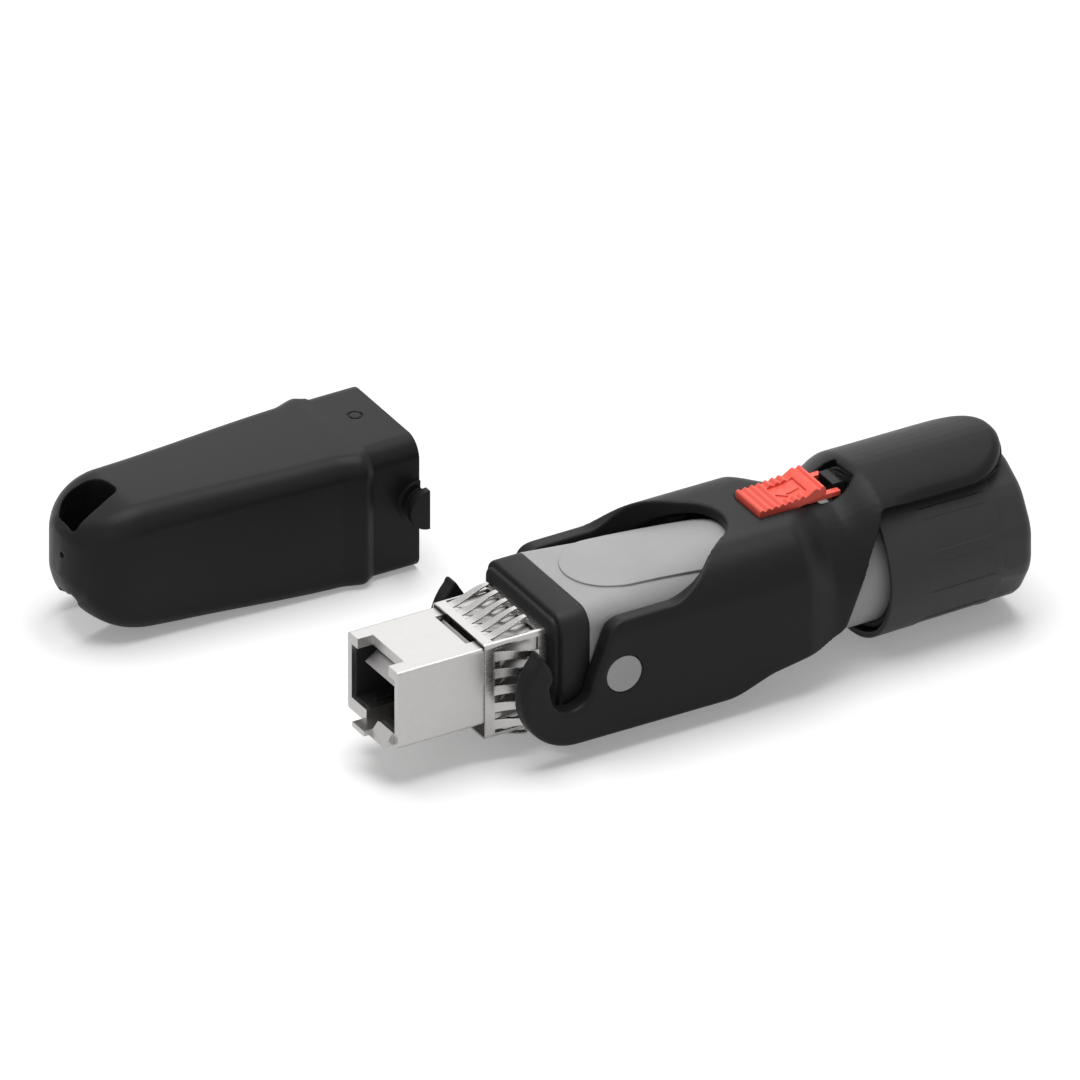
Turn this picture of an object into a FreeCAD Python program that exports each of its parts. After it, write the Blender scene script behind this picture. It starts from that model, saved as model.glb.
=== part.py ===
"""Outdoor network plug with a lever latch, and its protective cap.

Millimetres. +X runs along the plug from the jack's mouth to the cable nut, +Z is up
and the origin is the centre of the jack's mouth.
"""
import FreeCAD, Part
import math
import os

import Sketcher

os.makedirs("parts", exist_ok=True)
doc = FreeCAD.newDocument("lever_plug")
dim = doc.addObject("Spreadsheet::Sheet", "dim")

SIZES = [
    # Cast jack shell
    ("shell_width", 14.1), ("shell_height", 12.3), ("shell_length", 33.6), ("shell_edge", 0.5),
    ("roof_wall", 1.6), ("side_wall", 1.0), ("floor_wall", 2.0),
    ("notch_width", 8.7), ("notch_depth", 2.5),
    ("latch_width", 3.7), ("latch_depth", 8.0),
    ("lip_thick", 0.8), ("lip_reach", 2.3), ("lip_far", 1.9), ("lip_near", 1.4),
    ("gusset_near", 5.5), ("gusset_reach", 1.5), ("gusset_rise", 1.95),
    ("port_front", 12.6), ("port_length", 2.2), ("port_width", 8.7),
    ("seat_gap", 0.05),
    # Contact insert, contacts and shield leaf
    ("insert_front", 9.8), ("insert_length", 14.0), ("rail_height", 0.35), ("rail_width", 0.8),
    ("rail_spread", 3.6), ("rail_front", 2.4),
    ("contact_count", 8), ("contact_pitch", 1.02), ("contact_width", 0.36), ("contact_thick", 0.3),
    ("contact_height", 3.3), ("contact_reach", 3.4), ("contact_drop", 1.9), ("contact_root", 2.4),
    ("leaf_width", 8.2), ("leaf_thick", 0.2), ("leaf_tip", 1.06), ("leaf_dip", 2.1), ("leaf_bend", 4.4),
    ("leaf_end", 14.0), ("leaf_kick", 1.0),
    # Spring collar
    ("collar_front", 14.0), ("collar_length", 10.4), ("collar_play", 0.05), ("collar_rise", 0.61),
    ("collar_drop", 1.85), ("collar_sheet", 0.3), ("collar_bend", 0.7), ("collar_rim", 1.6),
    ("finger_count", 5), ("finger_slit", 0.87),
    ("finger_root", 1.6), ("finger_length", 5.9), ("finger_rise", 1.85), ("finger_window", 7.0),
    # Flange seal
    ("flange_half", 9.65), ("flange_top", 9.0), ("flange_bottom", 9.6), ("flange_corner", 2.8),
    ("flange_thick", 4.5), ("lip_ring", 0.7), ("lip_inset", 0.8),
    # Plug body
    ("body_radius", 10.1), ("body_round", 58.0), ("body_shoulder", 80.5), ("spigot_radius", 9.4),
    ("spigot_length", 10.5), ("bore_radius", 8.0), ("shell_pocket", 4.1),
    ("plaque_width", 14.0), ("plaque_front", 31.2), ("plaque_back", 57.2), ("plaque_step", 0.22),
    ("ring_groove", 79.0), ("ring_section", 0.8), ("ring_seat", 9.75),
    # Pivot
    ("pivot_x", 33.0), ("pivot_head", 2.8), ("pivot_shank", 1.5), ("pivot_boss", 3.3),
    ("pivot_depth", 2.4), ("running_gap", 0.06), ("face_gap", 0.15),
    # Coupling lever
    ("arm_gap", 0.8), ("arm_thick", 2.75), ("lever_top", 12.4), ("lever_corner", 7.0), ("lever_bottom", 9.2),
    ("tunnel_top", 10.7), ("tunnel_corner", 7.0), ("lever_edge", 0.8),
    ("hook_x", 24.1), ("hook_drop", 0.6), ("hook_radius", 8.6), ("slot_x", 24.5), ("slot_radius", 3.1),
    ("hook_tip_x", 20.1), ("hook_tip_z", 6.5), ("ramp_x", 31.1), ("ramp_z", 8.6),
    ("shoulder_x", 35.5), ("shoulder_z", 8.2), ("crest_x", 49.0),
    ("chin_x", 52.1), ("jaw_x", 57.5), ("jaw_drop", 7.3), ("flank_x", 65.4), ("flank_drop", 6.0),
    ("heel_x", 70.3), ("heel_drop", 4.6), ("rise_x", 73.6), ("rise_z", 5.4), ("root_x", 80.3),
    ("hook_bulge", 9.5),
    ("bridge_back", 61.5), ("waist_front", 67.6), ("waist_back", 72.7), ("waist_radius", 12.4),
    ("tongue_front", 76.2), ("tongue_radius", 14.8), ("tongue_half", 9.3), ("tongue_end", 101.5),
    ("tongue_corner", 7.5), ("tongue_inner", 12.7), ("tongue_step", 75.4),
    ("window_half", 8.0), ("window_wide", 39.5), ("window_narrow", 42.5), ("window_end", 56.5),
    # Lock slider and catch
    ("slider_front", 60.9), ("slider_back", 71.6), ("slider_width", 7.0), ("slider_seat", 11.9),
    ("slider_toe", 12.9), ("slider_ridge", 14.3), ("slider_travel", 1.8), ("slider_gap", 0.15),
    ("rib_height", 0.3), ("rib_length", 0.7), ("rib_count", 3), ("stem_front", 63.0), ("stem_length", 4.0), ("stem_half", 1.8),
    ("prong_end", 74.2), ("prong_half", 3.0), ("prong_width", 0.8), ("prong_thick", 0.7),
    ("well_back", 77.6), ("well_top", 13.9), ("well_corner", 1.8),
    ("catch_front", 73.6), ("catch_length", 2.4), ("catch_half", 2.0), ("catch_top", 13.3), ("catch_foot", 1.4),
    # Gland nut
    ("nut_front", 77.3), ("nut_end", 101.1), ("nut_radius", 12.4), ("nut_taper", 0.5), ("nut_round", 2.0),
    ("nut_mouth", 11.5), ("nut_mouth_depth", 4.2), ("nut_exit", 6.3), ("nut_exit_length", 1.8),
    ("grip_count", 12), ("grip_angle", 22.5), ("grip_front", 83.8), ("grip_back", 94.7), ("grip_depth", 0.25),
    ("facet_front", 95.4), ("facet_depth", 0.45),
    # Parts inside the nut and the body
    ("washer_thick", 0.6), ("cage_flange", 1.4), ("cage_wall", 2.0), ("cage_length", 13.0), ("cage_tip", 6.7),
    ("cage_slots", 8), ("cage_slot_width", 0.8), ("cage_flange_radius", 8.9), ("cage_nose", 6.0),
    ("seal_bore", 3.6), ("seal_margin", 0.4),
    ("block_length", 14.0), ("block_play", 0.7), ("blade_length", 5.0), ("blade_thick", 0.4), ("blade_height", 1.6),
    ("blade_pitch", 2.4), ("blade_margin", 1.0),
    ("guide_length", 8.0), ("guide_hole", 0.8), ("guide_circle", 5.2),
    ("ferrule_gap", 2.0), ("ferrule_length", 18.0), ("ferrule_bore", 4.2), ("ferrule_waist", 5.4), ("ferrule_collar", 3.0),
    # Protective cap
    ("cap_y", 55.1), ("cap_mouth", 34.1), ("cap_length", 53.7), ("cap_collar", 7.75), ("cap_half", 9.2),
    ("cap_top", 7.7), ("cap_bottom", 11.6), ("cap_corner", 3.0), ("cap_flare", 1.1), ("cap_flare_length", 5.5),
    ("cap_taper", 0.0629), ("cap_rise", 0.0244), ("cap_nose", 6.8), ("cap_brow", 5.0),
    ("eye_length", 2.6), ("eye_bottom", 5.7), ("eye_sweep", 6.2),
    ("lanyard_front", 2.1), ("lanyard_length", 7.2), ("lanyard_half", 3.9), ("lanyard_corner", 2.6),
    ("stud_radius", 3.1), ("stud_reach", 3.1),
    ("cap_cavity_half", 8.0), ("cap_cavity_depth", 11.5), ("cap_wall", 1.5),
    ("cap_core_half", 7.35), ("cap_core_top", 4.8), ("cap_core_bottom", 8.1), ("cap_core_depth", 27.5),
]
for row, (name, number) in enumerate(SIZES, start=1):
    dim.set(f"A{row}", name)
    dim.set(f"B{row}", str(number))
    dim.setAlias(f"B{row}", name)
doc.recompute()

# Places that several pieces share, as expressions on the sheet
SHELL_TOP = "(dim.shell_height / 2)"
CEILING = "(dim.shell_height / 2 - dim.roof_wall)"
FLOOR = "(-dim.shell_height / 2 + dim.floor_wall)"
CAVITY_HALF = "(dim.shell_width / 2 - dim.side_wall)"
INSERT_HALF = f"({CAVITY_HALF} - dim.seat_gap)"
INSERT_TOP = f"({CEILING} - dim.leaf_thick - 2 * dim.seat_gap)"
INSERT_BOTTOM = f"({FLOOR} + dim.seat_gap)"
INSERT_BACK = "(dim.insert_front + dim.insert_length)"
COLLAR_HALF = "(dim.shell_width / 2 + dim.collar_play + dim.collar_sheet)"
COLLAR_TOP = "(dim.shell_height / 2 + dim.collar_rise)"
COLLAR_BOTTOM = "(dim.shell_height / 2 + dim.collar_drop)"
SEAL_FRONT = "(dim.collar_front + dim.collar_length)"
BODY_FRONT = f"({SEAL_FRONT} + dim.lip_ring + dim.flange_thick)"
SPIGOT_END = "(dim.body_shoulder + dim.spigot_length)"
HOOK_Z = "(-dim.hook_drop)"
ARM_INNER = "(dim.body_radius + dim.arm_gap)"
LEVER_HALF = f"({ARM_INNER} + dim.arm_thick)"
CAGE_FRONT = f"({SPIGOT_END} + dim.seat_gap + dim.cage_flange)"
WASHER_FRONT = f"({CAGE_FRONT} + dim.seat_gap)"
NUT_SHELF = f"({WASHER_FRONT} + dim.washer_thick + dim.seat_gap)"
EXIT_FRONT = "(dim.nut_end - dim.nut_exit_length)"
BLOCK_FRONT = f"({INSERT_BACK} + 2 * dim.seat_gap)"
BLOCK_BACK = f"({BLOCK_FRONT} + dim.block_length)"
GUIDE_BACK = f"({BLOCK_BACK} + dim.seat_gap + dim.guide_length)"
FERRULE_FRONT = f"({GUIDE_BACK} + dim.ferrule_gap)"
FERRULE_BACK = f"({FERRULE_FRONT} + dim.ferrule_length)"


def value(expression):
    """The number that an expression on the sheet stands for."""
    return float(dim.evalExpression(str(expression)))


def bind(thing, prop, expression):
    """Ties one property of a feature to the sheet."""
    thing.setExpression(prop, str(expression))


def new_body(label):
    body = doc.addObject("PartDesign::Body", label)
    body.Label = label
    return body


def plane_of(body, role):
    return next(f for f in body.Origin.OriginFeatures if f.Role == role)


def new_sketch(body, role, offset="0"):
    """A sketch on one of the body's origin planes, moved along the plane's normal."""
    sketch = body.newObject("Sketcher::SketchObject", "sketch")
    sketch.AttachmentSupport = [(plane_of(body, role), "")]
    sketch.MapMode = "FlatFace"
    if offset != "0":
        bind(sketch, "AttachmentOffset.Base.z", offset)
    return sketch


def arc_via(start, end, radius, side):
    """A point in the middle of the arc whose centre is left (+1) or right (-1) of the chord."""
    dx, dy = end[0] - start[0], end[1] - start[1]
    chord = math.hypot(dx, dy)
    sag = radius - math.sqrt(max(radius ** 2 - (chord / 2) ** 2, 0.0))
    return ((start[0] + end[0]) / 2 + side * sag * dy / chord,
            (start[1] + end[1]) / 2 - side * sag * dx / chord)


def outline(sketch, corners):
    """A closed outline through corners whose coordinates are expressions.

    A corner is (x, y), or (x, y, radius, side) where an arc runs to the next corner.
    """
    points = [(value(c[0]), value(c[1])) for c in corners]
    count = len(corners)
    ends = []
    for i, corner in enumerate(corners):
        start, end = points[i], points[(i + 1) % count]
        a, b = FreeCAD.Vector(*start, 0), FreeCAD.Vector(*end, 0)
        if len(corner) == 2:
            piece = sketch.addGeometry(Part.LineSegment(a, b))
            ends.append((piece, 1, 2))
            continue
        radius = value(corner[2])
        via = FreeCAD.Vector(*arc_via(start, end, radius, corner[3]), 0)
        piece = sketch.addGeometry(Part.Arc(a, via, b))
        forward = (sketch.getPoint(piece, 1) - a).Length < 1e-6
        ends.append((piece, 1, 2) if forward else (piece, 2, 1))
        rule = sketch.addConstraint(Sketcher.Constraint("Radius", piece, radius))
        bind(sketch, f"Constraints[{rule}]", corner[2])
    for i in range(count):
        here, there = ends[i], ends[(i + 1) % count]
        sketch.addConstraint(Sketcher.Constraint("Coincident", here[0], here[2], there[0], there[1]))
    for i, corner in enumerate(corners):
        piece, first = ends[i][0], ends[i][1]
        for kind, expression, axis in (("DistanceX", corner[0], -2), ("DistanceY", corner[1], -1)):
            if expression == "0":
                sketch.addConstraint(Sketcher.Constraint("PointOnObject", piece, first, axis))
                continue
            rule = sketch.addConstraint(
                Sketcher.Constraint(kind, -1, 1, piece, first, value(expression)))
            bind(sketch, f"Constraints[{rule}]", expression)


def ring(sketch, x, y, radius):
    """A circle whose centre and radius are expressions."""
    centre = FreeCAD.Vector(value(x), value(y), 0)
    piece = sketch.addGeometry(Part.Circle(centre, FreeCAD.Vector(0, 0, 1), value(radius)))
    rule = sketch.addConstraint(Sketcher.Constraint("Radius", piece, value(radius)))
    bind(sketch, f"Constraints[{rule}]", radius)
    for kind, expression, axis in (("DistanceX", x, -2), ("DistanceY", y, -1)):
        if expression == "0":
            sketch.addConstraint(Sketcher.Constraint("PointOnObject", piece, 3, axis))
            continue
        rule = sketch.addConstraint(Sketcher.Constraint(kind, -1, 1, piece, 3, value(expression)))
        bind(sketch, f"Constraints[{rule}]", expression)


def rectangle(sketch, x0, x1, y0, y1):
    outline(sketch, [(x0, y0), (x1, y0), (x1, y1), (x0, y1)])


def rounded(sketch, x0, x1, y0, y1, radius):
    """A rectangle with four round corners."""
    r = radius
    outline(sketch, [
        (f"{x0} + {r}", y0), (f"{x1} - {r}", y0, r, 1), (x1, f"{y0} + {r}"),
        (x1, f"{y1} - {r}", r, 1), (f"{x1} - {r}", y1), (f"{x0} + {r}", y1, r, 1),
        (x0, f"{y1} - {r}"), (x0, f"{y0} + {r}", r, 1)])


def arch(sketch, half, top, corner, bottom):
    """An arch section on a YZ plane: straight sides, round upper corners, flat top."""
    outline(sketch, [
        (f"-{half}", bottom), (half, bottom), (half, f"{top} - {corner}", corner, 1),
        (f"{half} - {corner}", top), (f"-({half} - {corner})", top, corner, 1),
        (f"-{half}", f"{top} - {corner}")])


def pad(body, sketch, length, side="One side", back=False):
    feature = body.newObject("PartDesign::Pad", "pad")
    feature.Profile = sketch
    feature.SideType = side
    feature.Reversed = back
    bind(feature, "Length", length)
    return feature


def pocket(body, sketch, length, side="One side", back=False):
    feature = body.newObject("PartDesign::Pocket", "pocket")
    feature.Profile = sketch
    feature.SideType = side
    feature.Reversed = back
    bind(feature, "Length", length)
    return feature


def loft(body, sections):
    feature = body.newObject("PartDesign::AdditiveLoft", "loft")
    feature.Profile = sections[0]
    feature.Sections = sections[1:]
    feature.Ruled = True
    return feature


def turned(label, corners):
    """A body turned about the plug's axis from a half profile of (x, radius) corners."""
    body = new_body(label)
    sketch = new_sketch(body, "XZ_Plane")
    outline(sketch, corners)
    feature = body.newObject("PartDesign::Revolution", "turn")
    feature.Profile = sketch
    feature.ReferenceAxis = (sketch, ["H_Axis"])
    feature.Angle = 360
    return body


def row_of(body, originals, role, pitch, count):
    """Repeats features along an origin axis at an even pitch."""
    feature = body.newObject("PartDesign::LinearPattern", "row")
    feature.Originals = originals
    feature.Direction = (plane_of(body, role), [""])
    feature.Mode = "Spacing"
    bind(feature, "Offset", pitch)
    bind(feature, "Occurrences", count)
    body.Tip = feature
    return feature


def ring_of(body, originals, count):
    """Repeats features evenly round the plug's axis."""
    feature = body.newObject("PartDesign::PolarPattern", "ring")
    feature.Originals = originals
    feature.Axis = (plane_of(body, "X_Axis"), [""])
    feature.Angle = 360
    bind(feature, "Occurrences", count)
    body.Tip = feature
    return feature


def soften(body, base, radius, wanted):
    """Fillets the edges of the tip for which wanted(edge) holds."""
    doc.recompute()
    names = [f"Edge{i}" for i, edge in enumerate(base.Shape.Edges, start=1) if wanted(edge)]
    feature = body.newObject("PartDesign::Fillet", "fillet")
    feature.Base = (base, names)
    bind(feature, "Radius", radius)
    return feature


def boolean(kind, label, base, tool):
    feature = doc.addObject(f"Part::{kind}", label)
    feature.Base = base
    feature.Tool = tool
    feature.Refine = False
    feature.Label = label
    return feature


def runs_along_x(edge):
    box = edge.BoundBox
    return box.XLength > 1.0 and box.YLength < 1e-6 and box.ZLength < 1e-6


# Cast jack shell: a square tube with a lead-in notch above and a latch notch below
def make_front_shell():
    body = new_body("front_shell")
    block = new_sketch(body, "YZ_Plane")
    half, top = "dim.shell_width / 2", "dim.shell_height / 2"
    rectangle(block, f"-{half}", half, f"-{top}", top)
    base = pad(body, block, "dim.shell_length")
    soften(body, base, "dim.shell_edge", runs_along_x)

    cavity = new_sketch(body, "YZ_Plane")
    rectangle(cavity, f"-{CAVITY_HALF}", CAVITY_HALF, FLOOR, CEILING)
    pocket(body, cavity, "dim.shell_length", back=True)

    notch = new_sketch(body, "XY_Plane", SHELL_TOP)
    rectangle(notch, "0", "dim.notch_depth", "-dim.notch_width / 2", "dim.notch_width / 2")
    pocket(body, notch, "dim.roof_wall")

    port = new_sketch(body, "XY_Plane", SHELL_TOP)
    rectangle(port, "dim.port_front", "dim.port_front + dim.port_length",
              "-dim.port_width / 2", "dim.port_width / 2")
    pocket(body, port, "dim.roof_wall")

    latch = new_sketch(body, "XY_Plane", FLOOR)
    rectangle(latch, "0", "dim.latch_depth", "-dim.latch_width / 2", "dim.latch_width / 2")
    pocket(body, latch, "dim.floor_wall - dim.lip_thick")

    lip = new_sketch(body, "XY_Plane", f"-{SHELL_TOP}")
    rectangle(lip, "-dim.lip_reach", "0", "-dim.lip_near", "dim.lip_far")
    pad(body, lip, "dim.lip_thick")

    gusset = new_sketch(body, "XZ_Plane", "dim.lip_near")
    outline(gusset, [("0", f"-{SHELL_TOP}"), ("0", f"-{SHELL_TOP} + dim.gusset_rise"),
                     ("-dim.gusset_reach", f"-{SHELL_TOP}")])
    pad(body, gusset, "dim.gusset_near - dim.lip_near")
    return body


# Moulded insert that closes the back of the jack and carries the contacts in a comb
def make_contact_insert():
    body = new_body("contact_insert")
    block = new_sketch(body, "YZ_Plane", "dim.insert_front")
    rectangle(block, f"-{INSERT_HALF}", INSERT_HALF, INSERT_BOTTOM, INSERT_TOP)
    pad(body, block, "dim.insert_length")

    for side in ("-", ""):
        rail = new_sketch(body, "XY_Plane", INSERT_BOTTOM)
        rectangle(rail, "dim.rail_front", "dim.insert_front",
                  f"{side}dim.rail_spread - dim.rail_width / 2", f"{side}dim.rail_spread + dim.rail_width / 2")
        pad(body, rail, "dim.rail_height")

    slot = new_sketch(body, "YZ_Plane", "dim.insert_front")
    edge = "-dim.contact_pitch * (dim.contact_count - 1) / 2"
    side = "(dim.contact_width / 2 + dim.seat_gap)"
    rectangle(slot, f"{edge} - {side}", f"{edge} + {side}",
              "dim.contact_height - dim.seat_gap", "dim.contact_height + dim.contact_thick + dim.seat_gap")
    cut = pocket(body, slot, "dim.contact_root + dim.seat_gap", back=True)
    row_of(body, [cut], "Y_Axis", "dim.contact_pitch", "dim.contact_count")
    return body


# One folded contact: straight out of the comb, then bent back and down
def make_contact_spring(index):
    body = new_body(f"contact_spring_{index + 1}")
    place = f"-dim.contact_pitch * ({index} - (dim.contact_count - 1) / 2)"
    strip = new_sketch(body, "XZ_Plane", place)
    top = "dim.contact_height + dim.contact_thick"
    nose = "dim.insert_front - dim.contact_reach"
    outline(strip, [
        ("dim.insert_front + dim.contact_root", "dim.contact_height"),
        ("dim.insert_front + dim.contact_root", top),
        (nose, top),
        (f"{nose} - dim.contact_thick", "dim.contact_height"),
        ("dim.insert_front - 2 * dim.contact_thick", "dim.contact_height - dim.contact_drop"),
        ("dim.insert_front - 2 * dim.contact_thick", f"{top} - dim.contact_drop"),
        (f"{nose} + 2 * dim.contact_thick", "dim.contact_height")])
    pad(body, strip, "dim.contact_width", side="Symmetric")
    return body


# Sheet leaf along the roof of the jack, dipping in the mouth and kicked up in the port
def make_shield_leaf():
    body = new_body("shield_leaf")
    strip = new_sketch(body, "XZ_Plane")
    upper = f"{CEILING} - dim.seat_gap"
    lower = f"{upper} - dim.leaf_thick"
    outline(strip, [
        ("dim.leaf_tip", f"{lower} - dim.leaf_dip + dim.leaf_thick"),
        ("dim.leaf_tip + dim.leaf_thick", f"{lower} - dim.leaf_dip"),
        ("dim.leaf_bend", lower),
        ("dim.port_front + dim.leaf_thick", lower),
        ("dim.leaf_end", f"{lower} + dim.leaf_kick"),
        ("dim.leaf_end - dim.leaf_thick", f"{upper} + dim.leaf_kick"),
        ("dim.port_front", upper),
        ("dim.leaf_bend - dim.leaf_thick", upper)])
    pad(body, strip, "dim.leaf_width", side="Symmetric")
    return body


# Sheet collar with a row of raised spring fingers on each of its four sides
def make_spring_collar():
    body = new_body("spring_collar")
    sheet = "dim.collar_sheet"
    outer = new_sketch(body, "YZ_Plane", "dim.collar_front")
    rounded(outer, f"-{COLLAR_HALF}", COLLAR_HALF, f"-{COLLAR_BOTTOM}", COLLAR_TOP, "dim.collar_bend")
    pad(body, outer, "dim.collar_length")
    inner = new_sketch(body, "YZ_Plane", "dim.collar_front")
    rectangle(inner, f"-({COLLAR_HALF} - {sheet})", f"{COLLAR_HALF} - {sheet}",
              f"-({COLLAR_BOTTOM} - {sheet})", f"{COLLAR_TOP} - {sheet}")
    pocket(body, inner, "dim.collar_length", back=True)

    root = "dim.collar_front + dim.finger_root"
    window_end = f"{root} + dim.finger_window"
    tip = f"{root} + dim.finger_length"
    middle = f"(({COLLAR_TOP} - {COLLAR_BOTTOM}) / 2)"
    reach = "(dim.finger_count - 1) / 2"
    pitch = f"((2 * {COLLAR_HALF} - dim.collar_rim) / dim.finger_count)"
    pitch_side = f"(({COLLAR_TOP} + {COLLAR_BOTTOM} - dim.collar_rim) / dim.finger_count)"

    across = new_sketch(body, "XY_Plane")
    window = f"({pitch} - dim.finger_slit) / 2 + dim.seat_gap"
    rectangle(across, root, window_end, f"-{pitch} * {reach} - ({window})", f"-{pitch} * {reach} + {window}")
    cut = pocket(body, across, f"4 * {COLLAR_BOTTOM}", side="Symmetric")
    row_of(body, [cut], "Y_Axis", pitch, "dim.finger_count")
    along = new_sketch(body, "XZ_Plane")
    window = f"({pitch_side} - dim.finger_slit) / 2 + dim.seat_gap"
    rectangle(along, root, window_end, f"{middle} - {pitch_side} * {reach} - ({window})",
              f"{middle} - {pitch_side} * {reach} + {window}")
    cut = pocket(body, along, f"4 * {COLLAR_HALF}", side="Symmetric")
    row_of(body, [cut], "Z_Axis", pitch_side, "dim.finger_count")

    def finger(sketch, level, sign):
        """A strip that leaves the sheet at its root and rises outward to a turned-in tip."""
        inside = f"{sign}({level} - {sheet})"
        high = f"{sign}({level} + dim.finger_rise)"
        outline(sketch, [
            (f"{root} - {sheet}", inside), (root, inside),
            (tip, f"{high} - {sign}{sheet}"),
            (f"{tip} + 2 * {sheet}", f"{high} - {sign}2 * {sheet}"),
            (f"{tip} + 2 * {sheet}", f"{high} - {sign}{sheet}"),
            (tip, high),
            (f"{root} - {sheet}", f"{sign}{level}")])

    for level, sign in ((COLLAR_TOP, "1 * "), (COLLAR_BOTTOM, "-1 * ")):
        strip = new_sketch(body, "XZ_Plane", f"{pitch} * {reach}")
        finger(strip, level, sign)
        blade = pad(body, strip, f"{pitch} - dim.finger_slit", side="Symmetric")
        row_of(body, [blade], "Y_Axis", pitch, "dim.finger_count")
    for sign in ("1 * ", "-1 * "):
        strip = new_sketch(body, "XY_Plane", f"{middle} - {pitch_side} * {reach}")
        finger(strip, COLLAR_HALF, sign)
        blade = pad(body, strip, f"{pitch_side} - dim.finger_slit", side="Symmetric")
        row_of(body, [blade], "Z_Axis", pitch_side, "dim.finger_count")
    return body


# Rubber flange seal in front of the body, with a lower lip ring on its face
def make_flange_seal():
    body = new_body("flange_seal")
    block = new_sketch(body, "YZ_Plane", f"{SEAL_FRONT} + dim.lip_ring")
    rounded(block, "-dim.flange_half", "dim.flange_half", "-dim.flange_bottom", "dim.flange_top",
            "dim.flange_corner")
    pad(body, block, "dim.flange_thick")
    lip = new_sketch(body, "YZ_Plane", SEAL_FRONT)
    rounded(lip, "-(dim.flange_half - dim.lip_inset)", "dim.flange_half - dim.lip_inset",
            "-(dim.flange_bottom - dim.lip_inset)", "dim.flange_top - dim.lip_inset",
            "(dim.flange_corner - dim.lip_inset)")
    pad(body, lip, "dim.lip_ring")
    way = new_sketch(body, "YZ_Plane", SEAL_FRONT)
    half = "(dim.shell_width / 2 + dim.seat_gap)"
    top = "(dim.shell_height / 2 + dim.seat_gap)"
    rectangle(way, f"-{half}", half, f"-{top}", top)
    pocket(body, way, "dim.lip_ring + dim.flange_thick", back=True)
    return body


# Body: flush with the seal in front, round behind, with a threaded spigot for the nut
def make_plug_body():
    body = new_body("body_shell")
    front = new_sketch(body, "YZ_Plane", f"{BODY_FRONT} + dim.seat_gap")
    rounded(front, "-dim.flange_half", "dim.flange_half", "-dim.flange_bottom", "dim.flange_top",
            "dim.flange_corner")
    back = new_sketch(body, "YZ_Plane", "dim.body_round")
    corner = "(dim.body_radius - 0.1)"
    rounded(back, "-dim.body_radius", "dim.body_radius", "-dim.body_radius", "dim.body_radius", corner)
    loft(body, [front, back])
    barrel = new_sketch(body, "YZ_Plane", "dim.body_round")
    ring(barrel, "0", "0", "dim.body_radius")
    pad(body, barrel, "dim.body_shoulder - dim.body_round")
    spigot = new_sketch(body, "YZ_Plane", "dim.body_shoulder")
    ring(spigot, "0", "0", "dim.spigot_radius")
    pad(body, spigot, "dim.spigot_length")
    for role, sign in (("XZ_Plane", ""), ("XZ_Plane", "-")):
        boss = new_sketch(body, role)
        ring(boss, "dim.pivot_x", "0", "dim.pivot_boss")
        pad(body, boss, f"{ARM_INNER} - dim.face_gap", back=bool(sign))
    hole = new_sketch(body, "XZ_Plane", ARM_INNER)
    ring(hole, "dim.pivot_x", "0", "dim.pivot_shank")
    pocket(body, hole, "dim.pivot_depth + dim.face_gap")
    hole = new_sketch(body, "XZ_Plane", f"-{ARM_INNER}")
    ring(hole, "dim.pivot_x", "0", "dim.pivot_shank")
    pocket(body, hole, "dim.pivot_depth + dim.face_gap", back=True)

    way = new_sketch(body, "YZ_Plane", "dim.shell_length - dim.shell_pocket")
    half = "(dim.shell_width / 2 + dim.seat_gap)"
    top = "(dim.shell_height / 2 + dim.seat_gap)"
    rectangle(way, f"-{half}", half, f"-{top}", top)
    pocket(body, way, "dim.shell_pocket + dim.seat_gap", back=True)
    bore = new_sketch(body, "YZ_Plane", "dim.shell_length")
    ring(bore, "0", "0", "dim.bore_radius")
    pocket(body, bore, f"{SPIGOT_END} - dim.shell_length", back=True)

    groove = new_sketch(body, "XZ_Plane")
    width = "(dim.ring_section + dim.seat_gap)"
    rectangle(groove, f"dim.ring_groove - {width}", f"dim.ring_groove + {width}",
              "dim.ring_seat", "dim.body_radius + 1")
    cut = body.newObject("PartDesign::Groove", "groove")
    cut.Profile = groove
    cut.ReferenceAxis = (groove, ["H_Axis"])
    cut.Angle = 360

    seat = new_sketch(body, "XY_Plane", "dim.body_radius")
    gap = "dim.seat_gap"
    rectangle(seat, f"dim.catch_front - {gap}", f"dim.catch_front + dim.catch_length + {gap}",
              f"-dim.catch_half - {gap}", f"dim.catch_half + {gap}")
    pocket(body, seat, f"dim.catch_foot + {gap}")

    plaque = make_plaque()
    return boolean("Fuse", "plug_body", body, plaque)


# Raised oblong plaque that follows the body's upper face
def make_plaque():
    skin = new_body("plaque_skin")
    step = "dim.plaque_step"
    front = new_sketch(skin, "YZ_Plane", BODY_FRONT)
    rounded(front, "-dim.plaque_width", "dim.plaque_width", "0", f"(dim.flange_top + {step})",
            "dim.flange_corner")
    back = new_sketch(skin, "YZ_Plane", "dim.body_round")
    radius = f"(dim.body_radius + {step})"
    rounded(back, f"-{radius}", radius, f"-{radius}", radius, f"({radius} - 0.1)")
    loft(skin, [front, back])
    oblong = new_body("plaque_outline")
    plan = new_sketch(oblong, "XY_Plane", "dim.flange_top - 1")
    half = "dim.plaque_width / 2"
    start = f"dim.plaque_front + {half}"
    end = f"dim.plaque_back - {half}"
    outline(plan, [
        (start, f"-{half}"), (end, f"-{half}", half, 1), ("dim.plaque_back", "0", half, 1),
        (end, half), (start, half, half, 1), ("dim.plaque_front", "0", half, 1)])
    pad(oblong, plan, "dim.body_radius - dim.flange_top + 3")
    return boolean("Common", "plaque", skin, oblong)


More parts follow.
